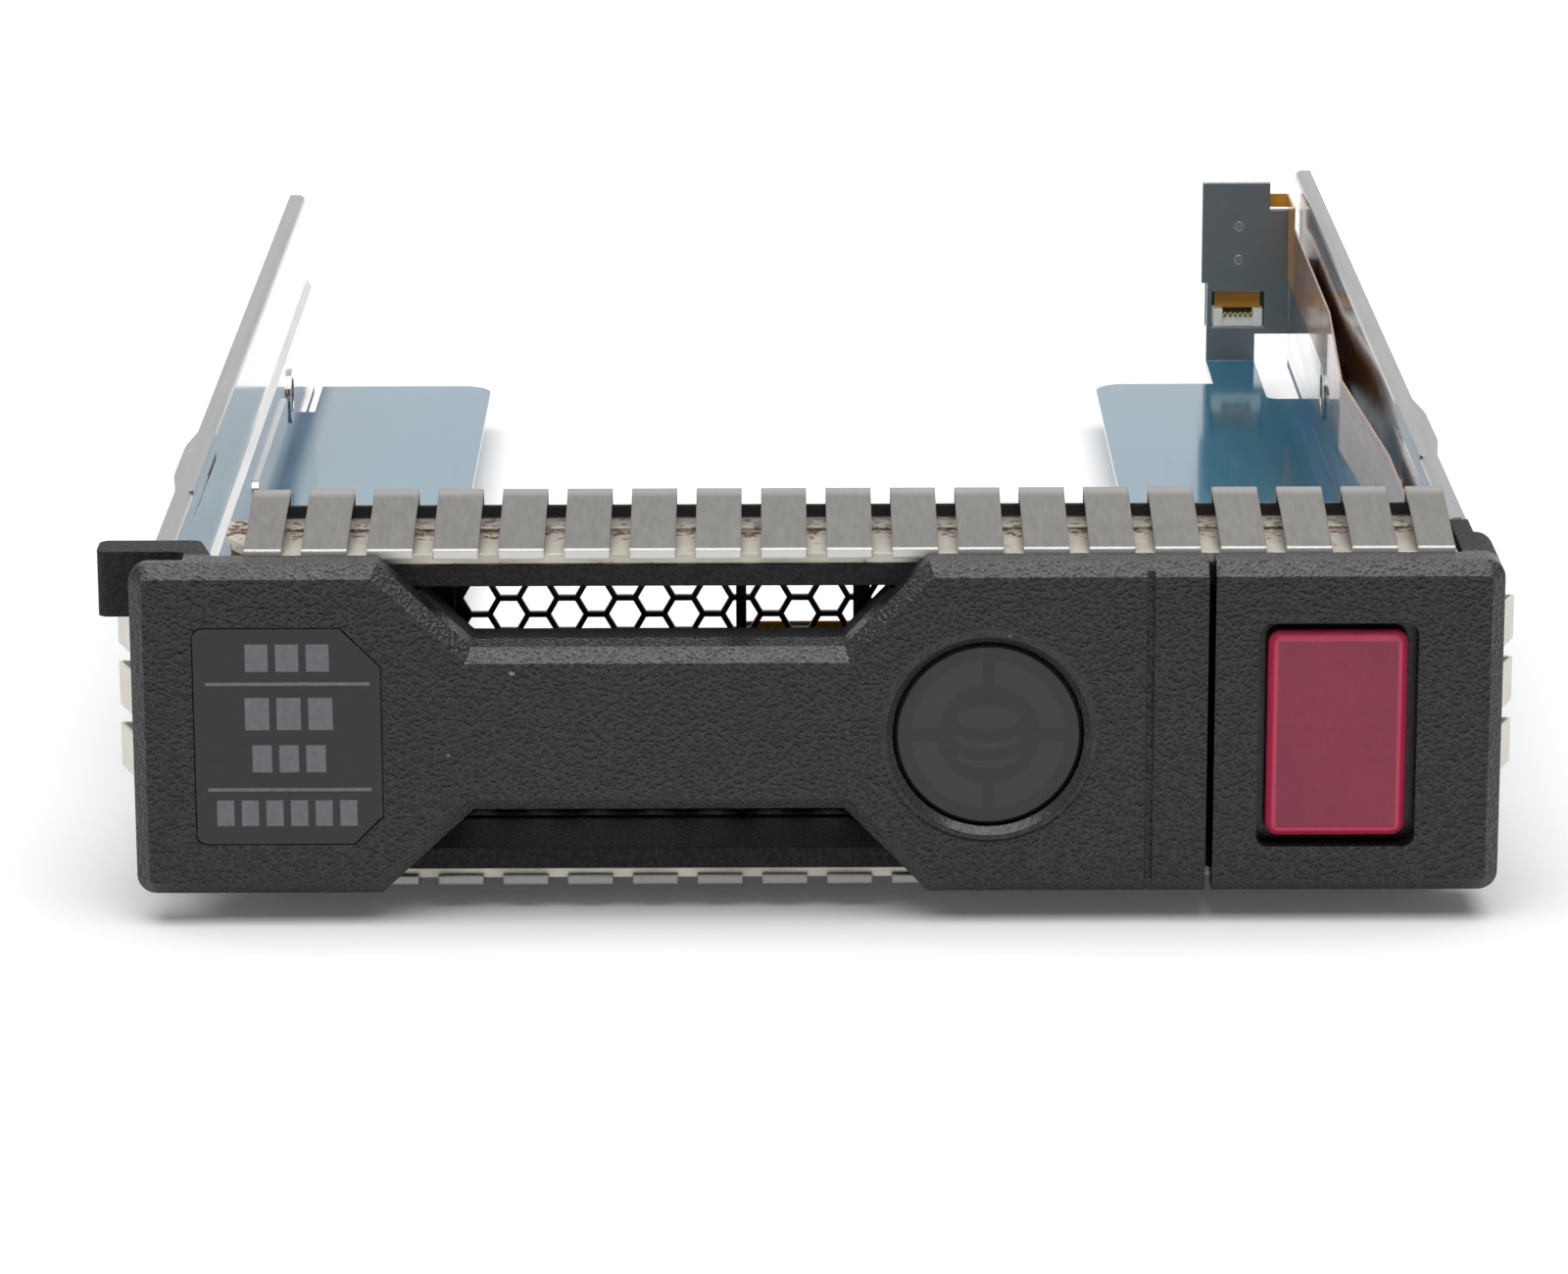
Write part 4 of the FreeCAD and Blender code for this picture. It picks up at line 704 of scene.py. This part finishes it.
def endTree(tree, inputs, geometry, finish):
    values = {"Count": inputs["Count"], "Start Location": inputs["Start"], "Offset": inputs["Step"]}
    line = addNode(tree, "GeometryNodeMeshLine", values, mode="OFFSET").outputs["Mesh"]
    turn = addNode(tree, "FunctionNodeEulerToRotation", {"Euler": inputs["Turn"]}).outputs["Rotation"]
    values = {"Points": line, "Instance": geometry, "Rotation": turn}
    placed = addNode(tree, "GeometryNodeInstanceOnPoints", values).outputs["Instances"]
    real = addNode(tree, "GeometryNodeRealizeInstances", {"Geometry": placed}).outputs["Geometry"]
    painted = addNode(tree, "GeometryNodeSetMaterial", {"Geometry": real, "Material": finish})
    addNode(tree, "NodeGroupOutput", {"Geometry": painted.outputs["Geometry"]})


def newBlockRow(name, finish):
    tree, inputs = newTree(name, (("Size", "NodeSocketVector"),))
    block = addNode(tree, "GeometryNodeMeshCube", {"Size": inputs["Size"]}).outputs["Mesh"]
    endTree(tree, inputs, block, finish)
    return tree


def bakeTree(tree, values):
    values = {"Count": 1, "Step": noMove, "Turn": noMove, **values}
    holder = bpy.data.objects.new(tree.name, bpy.data.meshes.new(tree.name))
    scene.collection.objects.link(holder)
    modifier = holder.modifiers.new("build", "NODES")
    modifier.node_group = tree
    for item in tree.interface.items_tree:
        if item.in_out == "INPUT":
            modifier[item.identifier] = values[item.name]
    mesh = bpy.data.meshes.new_from_object(holder.evaluated_get(bpy.context.evaluated_depsgraph_get()))
    holder.modifiers.remove(modifier)
    bpy.data.objects.remove(holder)
    return mesh


def addPiece(name, meshes, body, finish):
    build = bmesh.new()
    for mesh in meshes:
        build.from_mesh(mesh)
        bpy.data.meshes.remove(mesh)
    joined = bpy.data.meshes.new(name)
    build.to_mesh(joined)
    build.free()
    joined.materials.append(finish)
    piece = bpy.data.objects.new(name, joined)
    scene.collection.objects.link(piece)
    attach(piece, body)
    return piece


def joinAll(tree, parts):
    join = addNode(tree, "GeometryNodeJoinGeometry")
    for part in parts:
        tree.links.new(part, join.inputs["Geometry"])
    return join.outputs["Geometry"]


def raised(tree, geometry, rise):
    spot = addNode(tree, "ShaderNodeCombineXYZ", {"Z": rise}).outputs["Vector"]
    values = {"Geometry": geometry, "Translation": spot}
    return addNode(tree, "GeometryNodeTransform", values).outputs["Geometry"]


def drum(tree, radius, depth, sides):
    values = {"Vertices": sides, "Radius": radius, "Depth": depth}
    return addNode(tree, "GeometryNodeMeshCylinder", values).outputs["Mesh"]


# rows of plain marks that stand for the print on the label
labelMarks = {
    "tone": (0.150, 0.153, 0.165),
    "fade": 0.8,
    "scale": 1800.0,
    "rough": (0.4, 0.55),
    "thick": 0.02 * mm,
    "space": 0.55 * mm,
    # marks in the row, middle from the label's middle, width and height, in mm
    "rows": (
        (3, (0.05, 6.33), (6.5, 2.2)),
        (1, (0.05, 4.25), (12.7, 0.28)),
        (3, (0.10, 1.85), (6.8, 2.6)),
        (3, (0.05, -1.75), (5.7, 2.2)),
        (1, (0.05, -4.25), (12.7, 0.28)),
        (6, (-0.20, -6.15), (10.9, 2.1)),
    ),
}


def makeLabelMarks():
    p = labelMarks
    faded = tuple(p["fade"] * c for c in p["tone"])
    paint = makePlain("markGrey", p["tone"], faded, p["scale"], p["rough"])
    tree = newBlockRow("markRow", paint)
    low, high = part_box("label")
    middle = (low + high) / 2
    meshes = []
    for count, (across, up), (width, height) in p["rows"]:
        space = p["space"] if count > 1 else 0.0
        markWidth = (width * mm - (count - 1) * space) / count
        step = markWidth + space
        first = middle.x + across * mm - step * (count - 1) / 2
        start = (first, low.y - p["thick"] / 2, middle.z + up * mm)
        size = (markWidth, p["thick"], height * mm)
        meshes.append(bakeTree(tree, {"Count": count, "Start": start, "Step": (step, 0.0, 0.0), "Size": size}))
    addPiece("label_marks", meshes, "lever", paint)


# pan-head screws through the channel's web, with a cross recess
panScrews = {
    "count": 2,
    "head": 2.1 * mm,
    "drum": 0.5 * mm,
    "crown": 0.5 * mm,
    "crownRadius": 1.5 * mm,
    "sunk": 0.04 * mm,
    "shank": 1.2 * mm,
    "length": 6.25 * mm,
    "slot": (2.2 * mm, 0.42 * mm, 0.7 * mm),
    "slotSink": (0.40 * mm, 0.42 * mm),
    "sides": 36,
    "shankSides": 20,
}


def makePanScrews():
    p = panScrews
    tree, inputs = newTree("panScrew", (("Head", "NodeSocketFloat"), ("Shank", "NodeSocketFloat")))
    foot = minus(tree, inputs["Head"], p["sunk"])
    values = {"Vertices": p["sides"], "Radius Top": p["crownRadius"], "Radius Bottom": foot,
              "Depth": p["crown"] + p["sunk"]}
    crown = addNode(tree, "GeometryNodeMeshCone", values).outputs["Mesh"]
    crown = raised(tree, crown, p["drum"] - p["sunk"])
    long, narrow, deep = p["slot"]
    for size, sink in zip(((long, narrow, deep), (narrow, long, deep)), p["slotSink"]):
        cut = addNode(tree, "GeometryNodeMeshCube", {"Size": size}).outputs["Mesh"]
        cut = raised(tree, cut, p["drum"] + p["crown"] + deep / 2 - sink)
        values = {"Mesh 1": crown, "Mesh 2": cut}
        crown = addNode(tree, "GeometryNodeMeshBoolean", values, operation="DIFFERENCE").outputs["Mesh"]
    rim = raised(tree, drum(tree, inputs["Head"], p["drum"], p["sides"]), p["drum"] / 2)
    shank = drum(tree, inputs["Shank"], p["length"] + p["sunk"], p["shankSides"])
    shank = raised(tree, shank, (p["sunk"] - p["length"]) / 2)
    endTree(tree, inputs, joinAll(tree, (crown, rim, shank)), finishes["platedZinc"])
    low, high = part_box("base_screws")
    seat = high.y - p["drum"] - p["crown"]
    start = (low.x + p["head"], seat, high.z - p["head"])  # upper left and lower right
    step = (high.x - low.x - 2 * p["head"], 0.0, low.z - high.z + 2 * p["head"])
    mesh = bakeTree(tree, {"Count": p["count"], "Start": start, "Step": step, "Turn": (-math.pi / 2, 0.0, 0.0),
                           "Head": p["head"], "Shank": p["shank"]})
    screws = addPiece("pan_screws", [mesh], "tray", finishes["platedZinc"])
    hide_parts("base_screws")


# set rivets on the outside of both rails, with a rounded head
setRivets = {
    "head": 1.9 * mm,
    "height": 0.6 * mm,
    "shank": 1.2 * mm,
    "length": 1.7 * mm,
    "sunk": 0.1 * mm,
    "weld": 0.002 * mm,
    "rings": 5,
    "sides": 32,
    "shankSides": 20,
}


def makeSetRivets():
    p = setRivets
    tree, inputs = newTree("setRivet", (("Head", "NodeSocketFloat"), ("Height", "NodeSocketFloat")))
    parts = []
    for ring in range(p["rings"]):  # a dome in flat steps, each a short cone
        lowAngle = math.pi / 2 * ring / p["rings"]
        highAngle = math.pi / 2 * (ring + 1) / p["rings"]
        foot = times(tree, inputs["Head"], math.cos(lowAngle))
        top = times(tree, inputs["Head"], math.cos(highAngle))
        depth = times(tree, inputs["Height"], math.sin(highAngle) - math.sin(lowAngle))
        values = {"Vertices": p["sides"], "Radius Top": top, "Radius Bottom": foot, "Depth": depth}
        step = addNode(tree, "GeometryNodeMeshCone", values, fill_type="NONE").outputs["Mesh"]
        parts.append(raised(tree, step, times(tree, inputs["Height"], math.sin(lowAngle))))
    values = {"Vertices": p["sides"], "Radius": inputs["Head"]}
    under = addNode(tree, "GeometryNodeMeshCircle", values, fill_type="NGON").outputs["Mesh"]
    parts.append(addNode(tree, "GeometryNodeFlipFaces", {"Mesh": under}).outputs["Mesh"])
    shank = drum(tree, p["shank"], p["length"], p["shankSides"])
    parts.append(raised(tree, shank, p["sunk"] - p["length"] / 2))
    values = {"Geometry": joinAll(tree, parts), "Distance": p["weld"]}
    whole = addNode(tree, "GeometryNodeMergeByDistance", values).outputs["Geometry"]
    endTree(tree, inputs, whole, finishes["platedZinc"])
    low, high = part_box("rail_rivets")
    y, z = (low.y + high.y) / 2, (low.z + high.z) / 2
    meshes = []
    for x, turn in ((low.x + p["height"], -math.pi / 2), (high.x - p["height"], math.pi / 2)):
        meshes.append(bakeTree(tree, {"Start": (x, y, z), "Turn": (0.0, turn, 0.0),
                                      "Head": p["head"], "Height": p["height"]}))
    rivets = addPiece("set_rivets", meshes, "tray", finishes["platedZinc"])
    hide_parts("rail_rivets")


# cable connector: a low bar between two posts, with a row of contacts
cableConnector = {
    "post": 1.0 * mm,
    "barShare": 0.55,
    "barInset": 0.1 * mm,
    "contacts": 6,
    "contact": (0.28 * mm, 0.5 * mm, 0.5 * mm),
}


def makeCableConnector():
    p = cableConnector
    tree = newBlockRow("connectorRow", finishes["whiteMould"])
    low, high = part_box("flex_connector")
    size = high - low
    middle = (low + high) / 2
    posts = bakeTree(tree, {"Count": 2, "Start": (low.x + p["post"] / 2, middle.y, middle.z),
                            "Step": (size.x - p["post"], 0.0, 0.0), "Size": (p["post"], size.y, size.z)})
    room = size.x - 2 * p["post"]
    tall = size.z * p["barShare"]
    barSize = (room + 2 * p["barInset"], size.y - 2 * p["barInset"], tall)
    bar = bakeTree(tree, {"Start": (middle.x, middle.y, low.z + tall / 2), "Size": barSize})
    connector = addPiece("cable_connector", [posts, bar], "tray", finishes["whiteMould"])
    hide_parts("flex_connector")
    pitch = room / p["contacts"]
    start = (low.x + p["post"] + pitch / 2, low.y + p["contact"][1] / 2, low.z + tall + p["contact"][2] / 2)
    pins = bakeTree(tree, {"Count": p["contacts"], "Start": start, "Step": (pitch, 0.0, 0.0),
                           "Size": p["contact"]})
    addPiece("connector_contacts", [pins], "tray", finishes["goldPad"])


# round-wire coils: the button's is pressed together with it, the other sits on the lever's pin
wireCoils = {
    "buttonWire": 0.25 * mm,
    "buttonTurns": 4.0,
    "pinWire": 0.30 * mm,
    "pinTurns": 3.0,
    "sides": 8,
    "steps": 28,  # in one turn
}


def makeWireCoils():
    p = wireCoils
    tree, inputs = newTree("wireCoil", (("Radius", "NodeSocketFloat"), ("Wire", "NodeSocketFloat"),
                                        ("Height", "NodeSocketFloat"), ("Turns", "NodeSocketFloat")))
    values = {"Resolution": p["steps"], "Rotations": inputs["Turns"], "Start Radius": inputs["Radius"],
              "End Radius": inputs["Radius"], "Height": inputs["Height"]}
    path = addNode(tree, "GeometryNodeCurveSpiral", values).outputs["Curve"]
    values = {"Resolution": p["sides"], "Radius": inputs["Wire"]}
    section = addNode(tree, "GeometryNodeCurvePrimitiveCircle", values).outputs["Curve"]
    values = {"Curve": path, "Profile Curve": section, "Fill Caps": True}
    wire = addNode(tree, "GeometryNodeCurveToMesh", values).outputs["Mesh"]
    endTree(tree, inputs, wire, finishes["springWire"])

    low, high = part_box("button_spring")
    middle, size, radius = (low + high) / 2, high - low, p["buttonWire"]
    mesh = bakeTree(tree, {"Start": (middle.x, low.y + radius, middle.z), "Turn": (-math.pi / 2, 0.0, 0.0),
                           "Radius": size.x / 2 - radius, "Wire": radius, "Height": size.y - 2 * radius,
                           "Turns": p["buttonTurns"]})
    coil = addPiece("button_coil", [mesh], "tray", finishes["springWire"])
    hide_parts("button_spring")
    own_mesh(coil)

    low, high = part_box("lever_spring")
    middle, size, radius = (low + high) / 2, high - low, p["pinWire"]
    mesh = bakeTree(tree, {"Start": (middle.x, middle.y, low.z + radius), "Radius": size.x / 2 - radius,
                           "Wire": radius, "Height": size.z - 2 * radius, "Turns": p["pinTurns"]})
    coil = addPiece("pin_coil", [mesh], "tray", finishes["springWire"])
    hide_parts("lever_spring")


makeLabelMarks()
makePanScrews()
makeSetRivets()
makeCableConnector()
makeWireCoils()
print("label marks, screws, rivets, connector and coils added")


# white floor, one soft light above, a studio that is dark on the camera's side
stage = {
    "half": 6.0,
    "floor": (0.87, 0.87, 0.87),
    "mottle": (8.0, 2.0),
    "mottleGain": 0.015,
    "rough": 0.85,
    "glow": (0.05, 0.45),  # near the tray and far from it
    "behind": (0.0, 0.32),
    "beside": (0.25, 0.6),
    "fill": 0.25,
    "mirrored": (0.10, 0.9),  # on the camera's side and behind the tray
    "mirrorSpan": (-0.75, -0.15),
}
overhead = {"place": (0.0, -0.20, 0.75), "aim": (0.0, -0.08, 0.0), "size": (1.0, 0.9), "power": 8.6}
view = {
    "place": (-3.0 * mm, -541.25 * mm, 147.45 * mm),
    "lens": 139.5,
    "sensor": 36.0,
    "nearest": 0.01,
    "pitch": 15.4,  # degrees, as the next two
    "yaw": -0.083,
    "roll": -0.165,
}


def makeFloor():
    p = stage
    half = p["half"]
    floorMesh = bpy.data.meshes.new("floor")
    corners = [(-half, -half, 0), (half, -half, 0), (half, half, 0), (-half, half, 0)]
    floorMesh.from_pydata(corners, [], [(0, 1, 2, 3)])
    floor = bpy.data.objects.new("floor", floorMesh)
    scene.collection.objects.link(floor)
    finish, tree, shader, where = newFinish("paleFloor")
    paler = tuple(c + p["mottleGain"] for c in p["floor"])
    paper = blendColour(tree, noise(tree, where, *p["mottle"]), p["floor"], paler)
    rays = addNode(tree, "ShaderNodeLightPath").outputs
    seen = larger(tree, rays["Is Camera Ray"], rays["Is Glossy Ray"])
    seen = larger(tree, seen, rays["Is Transmission Ray"])
    x, y, _ = axesOf(tree, where)
    behind = remap(tree, y, p["behind"], p["glow"])  # the floor's glow rises from the tray towards the back
    beside = remap(tree, calc(tree, "ABSOLUTE", x), p["beside"], p["glow"])
    glow = times(tree, seen, larger(tree, behind, beside))
    setShader(tree, shader, Base_Color=paper, Roughness=p["rough"], Emission_Color=(1.0, 1.0, 1.0),
              Emission_Strength=glow)
    floorMesh.materials.append(finish)


def makeWorld():
    p = stage
    world = bpy.data.worlds.new("studio")
    scene.world = world
    world.use_nodes = True
    tree = world.node_tree
    tree.nodes.clear()
    towards = addNode(tree, "ShaderNodeTexCoord").outputs["Generated"]
    _, back, _ = axesOf(tree, towards)
    room = remap(tree, back, p["mirrorSpan"], p["mirrored"], smooth=True)
    rays = addNode(tree, "ShaderNodeLightPath").outputs
    glossy = rays["Is Glossy Ray"]
    strength = plus(tree, times(tree, glossy, room), times(tree, minus(tree, 1.0, glossy), p["fill"]))
    seen = larger(tree, rays["Is Camera Ray"], rays["Is Transmission Ray"])
    strength = larger(tree, strength, seen)
    sky = addNode(tree, "ShaderNodeBackground", {"Color": (1, 1, 1, 1), "Strength": strength})
    addNode(tree, "ShaderNodeOutputWorld", {"Surface": sky.outputs["Background"]})


def makeLamp(name, place, aim, size, power):
    lamp = bpy.data.lights.new(name, "AREA")
    lamp.shape = "RECTANGLE"
    lamp.size, lamp.size_y = size
    lamp.energy = power
    lampObject = bpy.data.objects.new(name, lamp)
    lampObject.location = place
    lampObject.rotation_euler = (Vector(aim) - Vector(place)).to_track_quat("-Z", "Y").to_euler()
    scene.collection.objects.link(lampObject)


def makeCamera():
    p = view
    camera = bpy.data.cameras.new("camera")
    camera.lens = p["lens"]
    camera.sensor_width = p["sensor"]
    camera.clip_start = p["nearest"]
    cameraObject = bpy.data.objects.new("camera", camera)
    pitch, yaw, roll = (math.radians(p[angle]) for angle in ("pitch", "yaw", "roll"))
    turn = Matrix.Rotation(yaw, 4, "Z") @ Matrix.Rotation(math.pi / 2 - pitch, 4, "X")
    turn = turn @ Matrix.Rotation(roll, 4, "Z")
    cameraObject.matrix_world = Matrix.Translation(Vector(p["place"])) @ turn
    scene.collection.objects.link(cameraObject)
    scene.camera = cameraObject


makeFloor()
makeWorld()
makeLamp("overhead", **overhead)
makeCamera()
print("stage, lamp and camera set")
